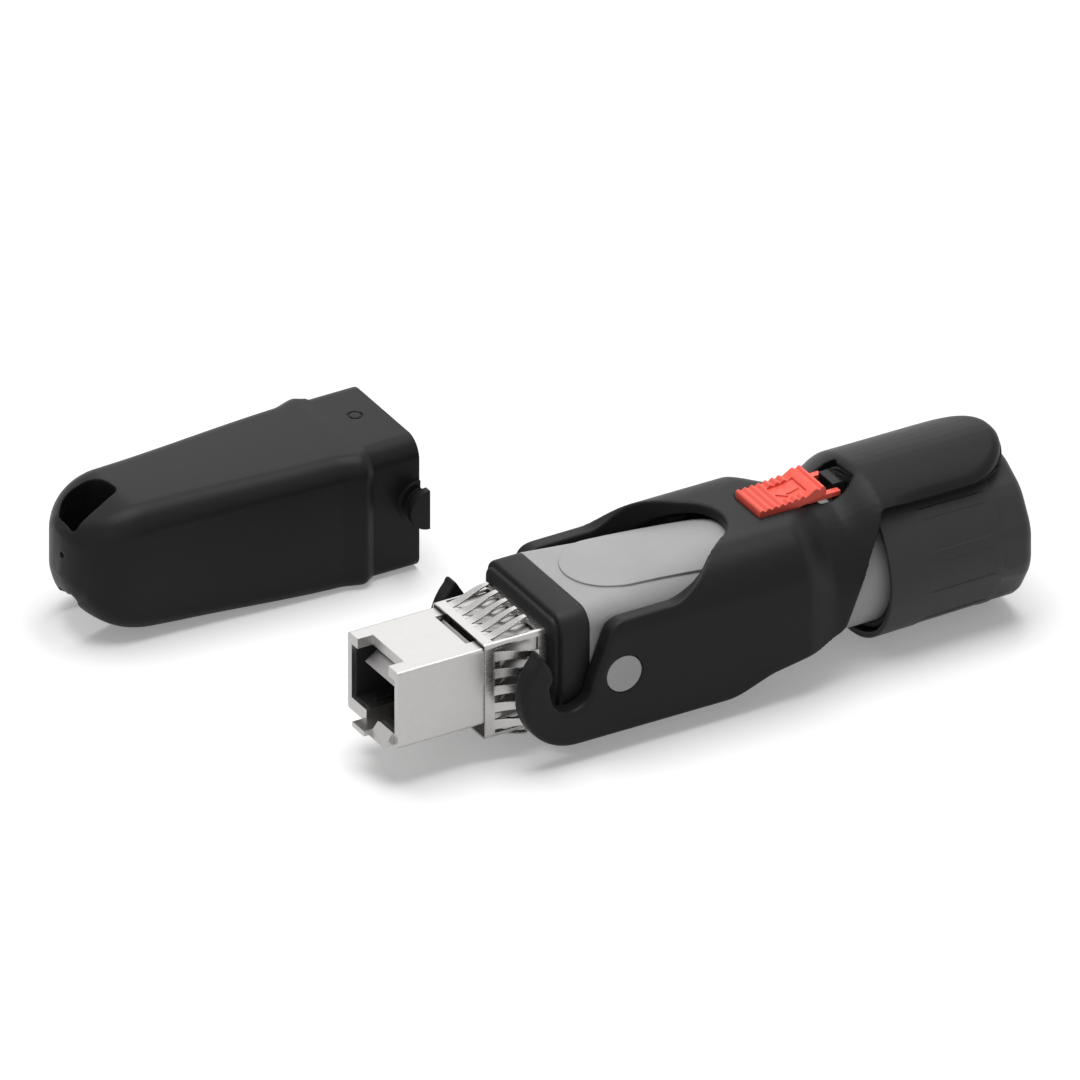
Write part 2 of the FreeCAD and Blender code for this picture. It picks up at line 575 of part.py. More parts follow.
# Rubber ring between the body and the mouth of the nut
def make_body_ring():
    body = new_body("body_o_ring")
    sketch = new_sketch(body, "XZ_Plane")
    ring(sketch, "dim.ring_groove", "dim.ring_seat + dim.seat_gap + dim.ring_section", "dim.ring_section")
    feature = body.newObject("PartDesign::Revolution", "turn")
    feature.Profile = sketch
    feature.ReferenceAxis = (sketch, ["H_Axis"])
    feature.Angle = 360
    return body


# Pivot pin: a head that the lever's arm turns on, and a shank in the body's boss
def make_pivot_pin(label, back):
    sign = "" if not back else "-"
    body = new_body(label)
    head = new_sketch(body, "XZ_Plane", f"{sign}({ARM_INNER} - dim.face_gap + dim.seat_gap)")
    ring(head, "dim.pivot_x", "0", "dim.pivot_head")
    pad(body, head, "dim.arm_thick + dim.face_gap - dim.seat_gap", back=back)
    shank = new_sketch(body, "XZ_Plane", f"{sign}({ARM_INNER} - dim.pivot_depth)")
    ring(shank, "dim.pivot_x", "0", "dim.pivot_shank - dim.seat_gap / 2")
    pad(body, shank, "dim.pivot_depth", back=back)
    return body


# Lug in the body's back that the slider's prongs lock under
def make_lever_catch():
    body = new_body("lever_catch")
    side = new_sketch(body, "XZ_Plane")
    foot = "dim.body_radius - dim.catch_foot"
    end = "dim.catch_front + dim.catch_length"
    outline(side, [
        ("dim.catch_front", foot), (end, foot), (end, "dim.catch_top - dim.catch_length / 2", "dim.catch_length / 2", 1),
        ("dim.catch_front + dim.catch_length / 2", "dim.catch_top"),
        ("dim.catch_front", "dim.catch_top")])
    pad(body, side, "2 * dim.catch_half", side="Symmetric")
    return body


# Coupling lever: two hooked arms, a bridge over the body, a waist and a long tongue
def make_coupling_lever():
    skin = make_lever_skin()
    side = make_lever_side()
    form = boolean("Common", "lever_form", skin, side)
    tools = make_lever_tunnel()
    for index, tool in enumerate(tools):
        form = boolean("Cut", f"lever_cut_{index + 1}", form, tool)
    form.Label = "coupling_lever"
    return form


def make_lever_skin():
    body = new_body("lever_skin")
    bottom = "-dim.lever_bottom"
    bridge = (f"({LEVER_HALF} + dim.seat_gap)", "dim.lever_top", "dim.lever_corner", bottom)
    waist = ("dim.waist_radius", "dim.waist_radius", "(dim.waist_radius - 0.1)", bottom)
    tongue = ("dim.tongue_radius", "dim.tongue_radius", "(dim.tongue_radius - 0.1)", bottom)

    def section(place, sizes):
        sketch = new_sketch(body, "YZ_Plane", place)
        arch(sketch, *sizes)
        return sketch

    front = section("dim.hook_x - dim.hook_radius", bridge)
    pad(body, front, "dim.bridge_back - dim.hook_x + dim.hook_radius")
    loft(body, [section("dim.bridge_back", bridge), section("dim.waist_front", waist)])
    pad(body, section("dim.waist_front", waist), "dim.waist_back - dim.waist_front")
    loft(body, [section("dim.waist_back", waist), section("dim.tongue_front", tongue)])
    pad(body, section("dim.tongue_front", tongue), "dim.tongue_end - dim.tongue_front")
    return body


def make_lever_side():
    """The lever seen from the side, with its hooks and lower edge, rounded on both faces."""
    body = new_body("lever_side")
    sketch = new_sketch(body, "XZ_Plane")
    low = f"({HOOK_Z} - dim.hook_radius)"
    drop = "((dim.lever_top - dim.shoulder_z) / 2)"
    run = "((dim.crest_x - dim.shoulder_x) / 2)"
    bend = f"(({run} ^ 2 + {drop} ^ 2) / (2 * {drop}))"
    tongue_low = "(dim.tongue_radius * cos(asin(dim.tongue_half / dim.tongue_radius)))"
    high = "dim.tongue_radius + 1"
    slot_low = f"({HOOK_Z} - dim.slot_radius)"
    outline(sketch, [
        ("dim.hook_tip_x", "dim.hook_tip_z", "dim.hook_radius", 1),
        ("dim.hook_x - dim.hook_radius", HOOK_Z, "dim.hook_radius", 1),
        ("dim.hook_x", low),
        ("dim.chin_x", low), ("dim.jaw_x", "-dim.jaw_drop"), ("dim.flank_x", "-dim.flank_drop"),
        ("dim.heel_x", "-dim.heel_drop"), ("dim.rise_x", "dim.rise_z"), ("dim.root_x", tongue_low),
        ("dim.tongue_end", tongue_low), ("dim.tongue_end", high),
        ("dim.crest_x + 2", high), ("dim.crest_x", "dim.lever_top", bend, 1),
        (f"dim.crest_x - {run}", f"dim.lever_top - {drop}", bend, -1),
        ("dim.shoulder_x", "dim.shoulder_z"),
        ("dim.ramp_x", "dim.ramp_z"),
        ("dim.slot_x + dim.slot_radius", HOOK_Z, "dim.slot_radius", -1),
        ("dim.slot_x", slot_low, "dim.slot_radius", -1),
        ("dim.slot_x - dim.slot_radius", HOOK_Z, "dim.hook_bulge", -1)])
    pad(body, sketch, f"2 * {LEVER_HALF}", side="Symmetric")
    doc.recompute()

    def on_hook_face(edge):
        box = edge.BoundBox
        flat = abs(box.YMin) > value(LEVER_HALF) - 0.01 and box.YLength < 0.01
        return flat and box.XMax < value("dim.crest_x") + 4 and box.ZMax < value("dim.lever_top") + 0.1

    soft = doc.addObject("Part::Fillet", "lever_side_soft")
    soft.Base = body
    radius = value("dim.lever_edge")
    soft.Edges = [(i, radius, radius) for i, edge in enumerate(body.Shape.Edges, start=1) if on_hook_face(edge)]
    return soft


def make_lever_tunnel():
    """What is taken out of the lever: room for body and nut, window, well, slot and bores."""
    room = new_body("lever_room")
    start = "dim.hook_x - dim.hook_radius - 1"
    front = new_sketch(room, "YZ_Plane", start)
    arch(front, ARM_INNER, "dim.tunnel_top", "dim.tunnel_corner", "-dim.lever_bottom - 5")
    pad(room, front, f"dim.body_round - ({start})")
    back = new_sketch(room, "YZ_Plane", "dim.body_round")
    arch(back, ARM_INNER, "dim.tunnel_top", "(dim.tunnel_top - 0.1)", "-dim.lever_bottom - 5")
    pad(room, back, "dim.tongue_step - dim.body_round")
    over = new_sketch(room, "YZ_Plane", "dim.tongue_step")
    ring(over, "0", "0", "dim.tongue_inner")
    pad(room, over, "dim.tongue_end + 1 - dim.tongue_step")

    bores = new_body("lever_bores")
    circle = new_sketch(bores, "XZ_Plane")
    ring(circle, "dim.pivot_x", "0", "dim.pivot_head + dim.running_gap")
    pad(bores, circle, f"4 * {LEVER_HALF}", side="Symmetric")

    window = new_body("lever_window")
    plan = new_sketch(window, "XY_Plane", "dim.shoulder_z / 3")
    half, wide = "dim.window_half", ARM_INNER
    turn = "dim.window_end - dim.window_half"
    outline(plan, [
        (start, f"-{wide}"), ("dim.window_wide", f"-{wide}"), ("dim.window_narrow", f"-{half}"),
        (turn, f"-{half}", half, 1), ("dim.window_end", "0", half, 1), (turn, half),
        ("dim.window_narrow", half), ("dim.window_wide", wide), (start, wide)])
    pad(window, plan, "dim.tongue_radius")

    well = new_body("lever_well")
    gap = "dim.slider_gap"
    seat = new_sketch(well, "XY_Plane", "dim.slider_seat")
    side = f"(dim.slider_width / 2 + {gap})"
    rectangle(seat, f"dim.slider_front - {gap}", "dim.waist_back + 1", f"-{side}", side)
    pad(well, seat, "dim.tongue_radius")
    slot = new_sketch(well, "XY_Plane", "dim.tunnel_top - 1")
    rectangle(slot, f"dim.stem_front - {gap}",
              f"dim.stem_front + dim.stem_length + dim.slider_travel + {gap}",
              f"-(dim.stem_half + {gap})", f"(dim.stem_half + {gap})")
    pad(well, slot, "4")
    mouth = new_sketch(well, "YZ_Plane", "dim.waist_front + 3")
    arch(mouth, side, "dim.well_top", "dim.well_corner", "dim.tunnel_top - 2")
    pad(well, mouth, "dim.well_back - dim.waist_front - 3")

    end = new_body("tongue_end_room")
    plan = new_sketch(end, "XY_Plane", "dim.tongue_radius / 3")
    tip, r = "dim.tongue_end", "dim.tongue_corner"
    outside = "(dim.tongue_half + 3)"
    inside = "dim.tongue_half"
    outline(plan, [
        (f"{tip} - {r}", f"-{outside}"), (f"{tip} + 1", f"-{outside}"), (f"{tip} + 1", outside),
        (f"{tip} - {r}", outside), (f"{tip} - {r}", inside, r, -1), (tip, f"{inside} - {r}"),
        (tip, f"-({inside} - {r})", r, -1), (f"{tip} - {r}", f"-{inside}")])
    pad(end, plan, "2 * dim.tongue_radius")
    return [room, window, well, end, bores]


# Lock slider: a ribbed thumb pad with a stem in the lever's slot and two prongs
def make_lock_slider():
    body = new_body("lock_slider")
    side = new_sketch(body, "XZ_Plane")
    seat = "(dim.slider_seat + dim.seat_gap)"
    rib, rise = "dim.rib_length", "dim.rib_height"
    front, back = "dim.slider_front", "dim.slider_back"
    ridge = f"{back} - 2 * {rib}"
    outline(side, [
        (front, seat), (back, seat), (back, f"dim.slider_ridge - {rise}"),
        (ridge, "dim.slider_ridge"), (f"{ridge} - {rib}", "dim.slider_ridge"),
        (f"{ridge} - 2 * {rib}", f"dim.slider_toe + {rise}"),
        (f"{front} + {rib}", "dim.slider_toe"), (front, f"dim.slider_toe - {rise}")])
    pad(body, side, "dim.slider_width", side="Symmetric")
    ribs = new_sketch(body, "XZ_Plane")
    outline(ribs, [
        (f"{front} + {rib}", seat), (f"{front} + 1.8 * {rib}", seat),
        (f"{front} + 1.8 * {rib}", f"dim.slider_toe + 1.4 * {rise}"),
        (f"{front} + {rib}", f"dim.slider_toe + {rise}")])
    bar = pad(body, ribs, "dim.slider_width", side="Symmetric")
    row_of(body, [bar], "X_Axis", "2 * dim.rib_length", "dim.rib_count")
    stem = new_sketch(body, "XY_Plane", "dim.tunnel_top")
    rectangle(stem, "dim.stem_front", "dim.stem_front + dim.stem_length", "-dim.stem_half", "dim.stem_half")
    pad(body, stem, "dim.slider_seat - dim.tunnel_top + 0.5")
    for sign in (1, -1):
        prong = new_sketch(body, "XY_Plane", "dim.tongue_inner - dim.seat_gap")
        edge = f"{sign} * dim.prong_half"
        inner = f"{sign} * (dim.prong_half - dim.prong_width)"
        rectangle(prong, f"{back} - 1", "dim.prong_end", inner, edge)
        pad(body, prong, "dim.prong_thick")
    return body


# Gland nut: a slim cone with twelve shallow grip panels and flats behind them
def make_gland_nut():
    end, r = "dim.nut_end", "dim.nut_radius"
    rear = f"({r} - dim.nut_taper)"
    rounding = "dim.nut_round"
    mouth_end = "dim.nut_front + dim.nut_mouth_depth"
    thread = "(dim.spigot_radius + dim.running_gap)"
    cone = "(dim.cage_tip + 3 * dim.seat_gap)"
    shelf = "(dim.bore_radius + 4 * dim.seat_gap)"
    body = turned("gland_nut", [
        ("dim.nut_front", "dim.nut_mouth"), (mouth_end, "dim.nut_mouth"), (mouth_end, thread),
        (NUT_SHELF, thread), (NUT_SHELF, shelf), (EXIT_FRONT, cone), (EXIT_FRONT, "dim.nut_exit"),
        (end, "dim.nut_exit"), (end, f"{rear} - {rounding}", rounding, -1), (f"{end} - {rounding}", rear),
        ("dim.nut_front", r)])
    grip = new_sketch(body, "XZ_Plane")
    rectangle(grip, "dim.grip_front", "dim.grip_back", f"{rear} - dim.grip_depth + 0.1", f"{r} + 1")
    cut = body.newObject("PartDesign::Groove", "grip")
    cut.Profile = grip
    cut.ReferenceAxis = (grip, ["H_Axis"])
    cut.Midplane = True
    bind(cut, "Angle", "dim.grip_angle")
    ring_of(body, [cut], "dim.grip_count")
    flat = new_sketch(body, "XY_Plane", f"{rear} - dim.facet_depth")
    rectangle(flat, "dim.facet_front", f"{end} + 1", f"-{r}", r)
    cut = pocket(body, flat, "5", back=True)
    ring_of(body, [cut], "dim.grip_count")
    return body


# Washer between the cage's flange and the shelf inside the nut
def make_thrust_washer():
    inner = "dim.bore_radius + 6 * dim.seat_gap"
    outer = "dim.spigot_radius - dim.seat_gap"
    back = f"{WASHER_FRONT} + dim.washer_thick"
    return turned("thrust_washer", [
        (WASHER_FRONT, inner), (back, inner), (back, outer), (WASHER_FRONT, outer)])


# Cage whose slotted nose the nut closes on the cable seal
def make_clamp_cage():
    sleeve = "(dim.bore_radius - dim.seat_gap)"
    inner = f"({sleeve} - dim.cage_wall)"
    front = f"{CAGE_FRONT} - dim.cage_flange"
    nose = f"({CAGE_FRONT} + dim.cage_nose)"
    body = turned("clamp_cage", [
        (f"{nose} - dim.cage_length", inner), (nose, inner), (nose, "dim.cage_tip"),
        (CAGE_FRONT, sleeve), (CAGE_FRONT, "dim.cage_flange_radius"),
        (front, "dim.cage_flange_radius"), (front, sleeve), (f"{nose} - dim.cage_length", sleeve)])
    slot = new_sketch(body, "XY_Plane")
    rectangle(slot, f"{CAGE_FRONT} + dim.cage_slot_width", f"{nose} + 1",
              "-dim.cage_slot_width / 2", "dim.cage_slot_width / 2")
    cut = pocket(body, slot, "dim.bore_radius + 2", back=True)
    ring_of(body, [cut], "dim.cage_slots")
    return body


# Rubber cable seal inside the cage
def make_cable_seal():
    outer = "(dim.bore_radius - dim.cage_wall - 2 * dim.seat_gap)"
    back = f"{CAGE_FRONT} + dim.cage_nose - dim.seal_margin"
    front = f"{CAGE_FRONT} + dim.cage_nose - dim.cage_length + dim.seal_margin"
    return turned("cable_seal", [
        (front, "dim.seal_bore"), (back, "dim.seal_bore"), (back, outer), (front, outer)])


# Block behind the jack where the wires are pressed into their blades
def make_termination_block():
    body = new_body("termination_block")
    block = new_sketch(body, "YZ_Plane", BLOCK_FRONT)
    half = f"({CAVITY_HALF} - dim.block_play)"
    rectangle(block, f"-{half}", half, INSERT_BOTTOM, INSERT_TOP)
    pad(body, block, "dim.block_length")
    edge = f"{BLOCK_BACK} - dim.blade_length - dim.blade_margin"
    gap = "dim.seat_gap"
    reach = "(dim.contact_count / 4 - 0.5) * dim.blade_pitch"
    for level, back in ((INSERT_TOP, False), (INSERT_BOTTOM, True)):
        slot = new_sketch(body, "XY_Plane", level)
        rectangle(slot, f"{edge} - {gap}", f"{edge} + dim.blade_length + {gap}",
                  f"-{reach} - dim.blade_thick / 2 - {gap}", f"-{reach} + dim.blade_thick / 2 + {gap}")
        cut = pocket(body, slot, f"dim.blade_height + {gap}", back=back)
        row_of(body, [cut], "Y_Axis", "dim.blade_pitch", "dim.contact_count / 2")
    return body


# One blade that cuts through a wire's sheath, four above and four below
def make_blade(index):
    body = new_body(f"wire_blade_{index + 1}")
    upper = index % 2 == 0
    column = index // 2
    level = f"{INSERT_TOP} - dim.blade_height" if upper else INSERT_BOTTOM
    sketch = new_sketch(body, "XY_Plane", level)
    edge = f"{BLOCK_BACK} - dim.blade_length - dim.blade_margin"
    middle = f"dim.blade_pitch * ({column} - (dim.contact_count / 4 - 0.5))"
    rectangle(sketch, edge, f"{edge} + dim.blade_length",
              f"{middle} - dim.blade_thick / 2", f"{middle} + dim.blade_thick / 2")
    pad(body, sketch, "dim.blade_height")
    return body


# Guide that spreads the eight wires round a core
def make_wire_guide():
    body = new_body("wire_guide")
    disc = new_sketch(body, "YZ_Plane", f"{BLOCK_BACK} + dim.seat_gap")
    ring(disc, "0", "0", "dim.bore_radius - dim.seat_gap")
    pad(body, disc, "dim.guide_length")
    hole = new_sketch(body, "YZ_Plane", f"{BLOCK_BACK} + dim.seat_gap")
    ring(hole, "0", "dim.guide_circle", "dim.guide_hole")
    cut = pocket(body, hole, "dim.guide_length", back=True)
    ring_of(body, [cut], "dim.contact_count")
    return body


# Metal ferrule that joins the cable's shield to the body
def make_shield_ferrule():
    outer = "dim.bore_radius - dim.seat_gap"
    collar = "dim.ferrule_collar"
    return turned("shield_ferrule", [
        (FERRULE_FRONT, "dim.ferrule_bore"), (FERRULE_BACK, "dim.ferrule_bore"), (FERRULE_BACK, outer),
        (f"{FERRULE_BACK} - {collar}", outer), (f"{FERRULE_BACK} - {collar}", "dim.ferrule_waist"),
        (f"{FERRULE_FRONT} + {collar}", "dim.ferrule_waist"), (f"{FERRULE_FRONT} + {collar}", outer),
        (FERRULE_FRONT, outer)])


# Protective cap, off the plug: collar, flared and tapering body, thin eye for a lanyard
def make_protective_cap():
    mouth, y = "dim.cap_mouth", "dim.cap_y"
    outer = new_body("cap_outer")

    def section(body, depth, half, bottom, top, corner):
        sketch = new_sketch(body, "YZ_Plane", f"{mouth} - ({depth})")
        rounded(sketch, f"(dim.cap_y - {half})", f"(dim.cap_y + {half})", f"(-{bottom})", top, corner)
        return sketch

    top, corner = "dim.cap_top", "dim.cap_corner"
    collar = section(outer, "dim.cap_collar", "dim.cap_half", "dim.cap_bottom", top, corner)
    pad(outer, collar, "dim.cap_collar")
    seam, fade = "dim.cap_collar", "(dim.cap_collar + dim.cap_flare_length)"
    wide = "(dim.cap_half + dim.cap_flare)"
    low = "(dim.cap_bottom + dim.cap_flare * 0.7)"
    waist = "(dim.cap_half + dim.cap_flare * 0.3)"
    end = "(dim.cap_length + dim.cap_collar)"
    run = f"({end} - {fade})"
    slim = f"({waist} - dim.cap_taper * {run})"
    high = f"({low} - dim.cap_rise * {run})"
    loft(outer, [section(outer, seam, wide, low, top, corner),
                 section(outer, fade, waist, f"({low} - 0.15)", top, corner)])
    loft(outer, [section(outer, fade, waist, f"({low} - 0.15)", top, corner),
                 section(outer, end, slim, high, top, corner)])

    side = new_body("cap_side")
    profile = new_sketch(side, "XZ_Plane", f"-{y}")
    tip = f"{mouth} - dim.cap_length"
    brow = "dim.cap_brow"
    step = f"{tip} + dim.eye_length"
    sweep = "dim.eye_sweep"
    outline(profile, [
        (mouth, "-dim.cap_bottom - 3"), (mouth, f"{top} + 1"), (f"{tip} + {brow} + 6", f"{top} + 1"),
        (f"{tip} + {brow} + 6", top), (f"{tip} + {brow}", f"{top} - 0.6", brow, 1),
        (tip, f"{top} - 0.6 - {brow}"), (tip, "-(dim.eye_bottom - 2)", "2", 1),
        (f"{tip} + 2", "-dim.eye_bottom"), (step, "-dim.eye_bottom", sweep, 1),
        (f"{step} + {sweep}", f"-dim.eye_bottom - {sweep}"), (f"{step} + {sweep}", "-dim.cap_bottom - 3")])
    pad(side, profile, "6 * dim.cap_half", side="Symmetric")

    plan = new_body("cap_plan")
    above = new_sketch(plan, "XY_Plane", "-2 * dim.cap_bottom")
    nose = "dim.cap_nose"
    broad = "(dim.cap_half + 5)"
    slim_y = f"({waist} - dim.cap_taper * (dim.cap_length - {fade}))"
    outline(above, [
        (f"{mouth} + 1", f"{y} - {broad}"), (f"{mouth} + 1", f"{y} + {broad}"),
        (f"{tip} + {nose} + 2", f"{y} + {broad}"), (f"{tip} + {nose}", f"{y} + {slim_y} + 0.2", nose, 1),
        (tip, f"{y} + {slim_y} + 0.2 - {nose}"), (tip, f"{y} - ({slim_y} + 0.2 - {nose})", nose, 1),
        (f"{tip} + {nose}", f"{y} - {slim_y} - 0.2"), (f"{tip} + {nose} + 2", f"{y} - {broad}")])
    pad(plan, above, "4 * dim.cap_bottom")

    form = boolean("Common", "cap_form", boolean("Common", "cap_hull", outer, side), plan)

    studs = new_body("cap_studs")
    for sign in (1, -1):
        half_round = new_sketch(studs, "XZ_Plane", f"-{y}")
        middle = "((dim.cap_top - dim.cap_bottom) / 2)"
        r = "dim.stud_radius"
        outline(half_round, [
            (mouth, f"{middle} - {r}"), (mouth, f"{middle} + {r}", r, 1),
            (f"{mouth} - {r}", middle, r, 1)])
        pad(studs, half_round, "dim.cap_half + dim.stud_reach", back=sign > 0)
    whole = boolean("Fuse", "cap_whole", form, studs)

    hollow = new_body("cap_hollow")
    wide_room = new_sketch(hollow, "YZ_Plane", f"{mouth} - dim.cap_cavity_depth")
    half, wall = "dim.cap_cavity_half", "dim.cap_wall"
    rounded(wide_room, f"{y} - {half}", f"{y} + {half}", f"-dim.cap_bottom + {wall}", f"{top} - {wall}",
            f"({corner} - {wall})")
    pad(hollow, wide_room, "dim.cap_cavity_depth + 1")
    core = new_sketch(hollow, "YZ_Plane", f"{mouth} - dim.cap_core_depth")
    half = "dim.cap_core_half"
    rounded(core, f"{y} - {half}", f"{y} + {half}", "-dim.cap_core_bottom", "dim.cap_core_top", "1.0")
    pad(hollow, core, "dim.cap_core_depth")

    eye = new_sketch(hollow, "XY_Plane", "-2 * dim.cap_bottom")
    start = f"{tip} + dim.lanyard_front"
    stop = f"{start} + dim.lanyard_length"
    half, r = "dim.lanyard_half", "dim.lanyard_corner"
    outline(eye, [
        (stop, f"{y} - {half}"), (stop, f"{y} + {half}"), (f"{start} + {r}", f"{y} + {half}", r, 1),
        (start, f"{y} + {half} - {r}"), (start, f"{y} - {half} + {r}", r, 1),
        (f"{start} + {r}", f"{y} - {half}")])
    pad(hollow, eye, "4 * dim.cap_bottom")
    cap = boolean("Cut", "protective_cap", whole, hollow)
    return cap


pieces = [
    make_front_shell(), make_contact_insert(), make_shield_leaf(), make_spring_collar(),
    make_flange_seal(), make_plug_body(), make_body_ring(),
    make_pivot_pin("pivot_pin_right", False), make_pivot_pin("pivot_pin_left", True),
    make_lever_catch(), make_coupling_lever(), make_lock_slider(), make_gland_nut(),
    make_thrust_washer(), make_clamp_cage(), make_cable_seal(), make_termination_block(),
    make_wire_guide(), make_shield_ferrule(), make_protective_cap(),
]
pieces += [make_contact_spring(index) for index in range(int(value("dim.contact_count")))]
pieces += [make_blade(index) for index in range(int(value("dim.contact_count")))]
doc.recompute()

faults = [f"{thing.Name}: {thing.State}" for thing in doc.Objects
          if "Invalid" in thing.State or "Error" in thing.State]
faults += [f"{piece.Label}: no sound shape" for piece in pieces
           if piece.Shape.isNull() or not piece.Shape.isValid()]
if faults:
    raise RuntimeError("\n".join(faults))
for piece in pieces:
    piece.Shape.exportStep(f"parts/{piece.Label}.step")
    box = piece.Shape.BoundBox
    print(f"{piece.Label:20s} solids {len(piece.Shape.Solids)}  volume {piece.Shape.Volume:9.1f}  "
          f"X {box.XMin:6.1f} {box.XMax:6.1f}  Y {box.YMin:6.1f} {box.YMax:6.1f}  "
          f"Z {box.ZMin:6.1f} {box.ZMax:6.1f}")
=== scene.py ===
"""Outdoor network plug with a lever latch, its cap taken off beside it."""
import math

import bmesh
import bpy
from mathutils import Matrix, Vector


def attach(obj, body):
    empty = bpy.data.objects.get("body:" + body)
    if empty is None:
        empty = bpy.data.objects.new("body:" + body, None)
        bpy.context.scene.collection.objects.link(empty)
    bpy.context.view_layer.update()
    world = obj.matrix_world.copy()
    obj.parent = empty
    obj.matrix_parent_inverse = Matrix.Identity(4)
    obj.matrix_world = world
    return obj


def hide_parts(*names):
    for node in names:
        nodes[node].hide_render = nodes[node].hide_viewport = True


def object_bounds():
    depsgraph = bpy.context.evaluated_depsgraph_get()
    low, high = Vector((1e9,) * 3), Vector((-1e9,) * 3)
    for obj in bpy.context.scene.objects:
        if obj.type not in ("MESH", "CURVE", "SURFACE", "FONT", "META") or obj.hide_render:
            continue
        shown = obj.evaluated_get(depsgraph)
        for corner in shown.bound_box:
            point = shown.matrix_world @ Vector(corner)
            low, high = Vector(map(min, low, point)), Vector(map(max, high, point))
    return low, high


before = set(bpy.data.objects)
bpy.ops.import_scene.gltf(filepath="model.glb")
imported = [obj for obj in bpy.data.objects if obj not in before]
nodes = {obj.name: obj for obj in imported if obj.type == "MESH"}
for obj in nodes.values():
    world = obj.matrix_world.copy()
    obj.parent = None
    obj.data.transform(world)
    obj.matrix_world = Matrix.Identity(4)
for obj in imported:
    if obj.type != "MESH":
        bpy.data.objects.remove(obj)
cad_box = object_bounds()

# Camera. The product is shown from its near side, turned 30 degrees and looked down on by 30,
# with no perspective, so a long lens is stood in for by a parallel one.
VIEW_TURN = math.radians(30)
VIEW_TILT = math.radians(30)
VIEW_WIDTH, AIM_RIGHT, AIM_UP, LENS_AWAY = 0.1521, 0.02352, 0.02117, 0.6
to_right = Vector((math.cos(VIEW_TURN), -math.sin(VIEW_TURN), 0))
to_lens = Vector((-math.sin(VIEW_TURN) * math.cos(VIEW_TILT),
                  -math.cos(VIEW_TURN) * math.cos(VIEW_TILT), math.sin(VIEW_TILT)))
to_top = to_lens.cross(to_right)
stand = to_right * AIM_RIGHT + to_top * AIM_UP + to_lens * LENS_AWAY
camera = bpy.data.objects.new("photo_camera", bpy.data.cameras.new("photo_camera"))
bpy.context.scene.collection.objects.link(camera)
camera.data.type = "ORTHO"
camera.data.ortho_scale = VIEW_WIDTH
camera.data.clip_start = 0.01
camera.data.clip_end = 5
camera.matrix_world = Matrix((
    (to_right.x, to_top.x, to_lens.x, stand.x),
    (to_right.y, to_top.y, to_lens.y, stand.y),
    (to_right.z, to_top.z, to_lens.z, stand.z),
    (0, 0, 0, 1)))
bpy.context.scene.camera = camera


# Studio. A white sheet on the table and white walls all round, lit by one large soft lamp
# overhead, a weak one on the near left and another far behind for the upper faces of the metal.
def white_for_the_lens(tree, plain, shown):
    """Mixes a plain surface with the white that the lens, gloss and glass see."""
    ray = tree.nodes.new("ShaderNodeLightPath")
    either = tree.nodes.new("ShaderNodeMath")
    either.operation = "MAXIMUM"
    tree.links.new(ray.outputs["Is Camera Ray"], either.inputs[0])
    tree.links.new(ray.outputs["Is Glossy Ray"], either.inputs[1])
    every = tree.nodes.new("ShaderNodeMath")
    every.operation = "MAXIMUM"
    tree.links.new(either.outputs[0], every.inputs[0])
    tree.links.new(ray.outputs["Is Transmission Ray"], every.inputs[1])
    mixed = tree.nodes.new("ShaderNodeMixShader")
    tree.links.new(every.outputs[0], mixed.inputs["Fac"])
    tree.links.new(plain, mixed.inputs[1])
    tree.links.new(shown, mixed.inputs[2])
    return mixed.outputs[0]


STUDIO_GLOW = 0.23
world = bpy.data.worlds.new("studio_walls")
bpy.context.scene.world = world
world.use_nodes = True
tree = world.node_tree
tree.nodes.clear()
dim_wall = tree.nodes.new("ShaderNodeBackground")
dim_wall.inputs["Color"].default_value = (1, 1, 1, 1)
dim_wall.inputs["Strength"].default_value = STUDIO_GLOW
white_wall = tree.nodes.new("ShaderNodeBackground")
white_wall.inputs["Color"].default_value = (1, 1, 1, 1)
white_wall.inputs["Strength"].default_value = 1.0
wall_out = tree.nodes.new("ShaderNodeOutputWorld")
wall = white_for_the_lens(tree, dim_wall.outputs[0], white_wall.outputs[0])
tree.links.new(wall, wall_out.inputs["Surface"])

bpy.context.scene.view_settings.view_transform = "Standard"


def soft_lamp(name, place, aim, across, power):
    """A square lamp that looks at a point."""
    lamp = bpy.data.lights.new(name, "AREA")
    lamp.shape = "SQUARE"
    lamp.size = across
    lamp.energy = power
    holder = bpy.data.objects.new(name, lamp)
    bpy.context.scene.collection.objects.link(holder)
    holder.location = place
    holder.rotation_euler = (Vector(aim) - Vector(place)).to_track_quat("-Z", "Y").to_euler()


soft_lamp("overhead_lamp", place=(0.05, 0.10, 0.90), aim=(0.03, 0.02, 0), across=0.7, power=8.0)
soft_lamp("near_lamp", place=(-0.55, -0.45, 0.35), aim=(0.03, 0.01, 0), across=0.5, power=0.3)
soft_lamp("far_lamp", place=(0.42, 0.66, 0.44), aim=(0.03, 0.01, 0), across=0.45, power=0.6)

TABLE_DROP, TABLE_REACH, PAPER_WHITE, PAPER_GLOW = 0.00004, 1.6, 0.80, 0.25
lowest = cad_box[0][2] - TABLE_DROP
table_mesh = bpy.data.meshes.new("table_sheet")
table_corners = [(-TABLE_REACH, -TABLE_REACH, lowest), (TABLE_REACH, -TABLE_REACH, lowest),
                 (TABLE_REACH, TABLE_REACH, lowest), (-TABLE_REACH, TABLE_REACH, lowest)]
table_mesh.from_pydata(table_corners, [], [(0, 1, 2, 3)])
table = bpy.data.objects.new("table_sheet", table_mesh)
bpy.context.scene.collection.objects.link(table)
sheet = bpy.data.materials.new("white_sheet")
sheet.use_nodes = True
tree = sheet.node_tree
tree.nodes.clear()
paper = tree.nodes.new("ShaderNodeBsdfDiffuse")
paper.inputs["Color"].default_value = (PAPER_WHITE, PAPER_WHITE, PAPER_WHITE, 1)
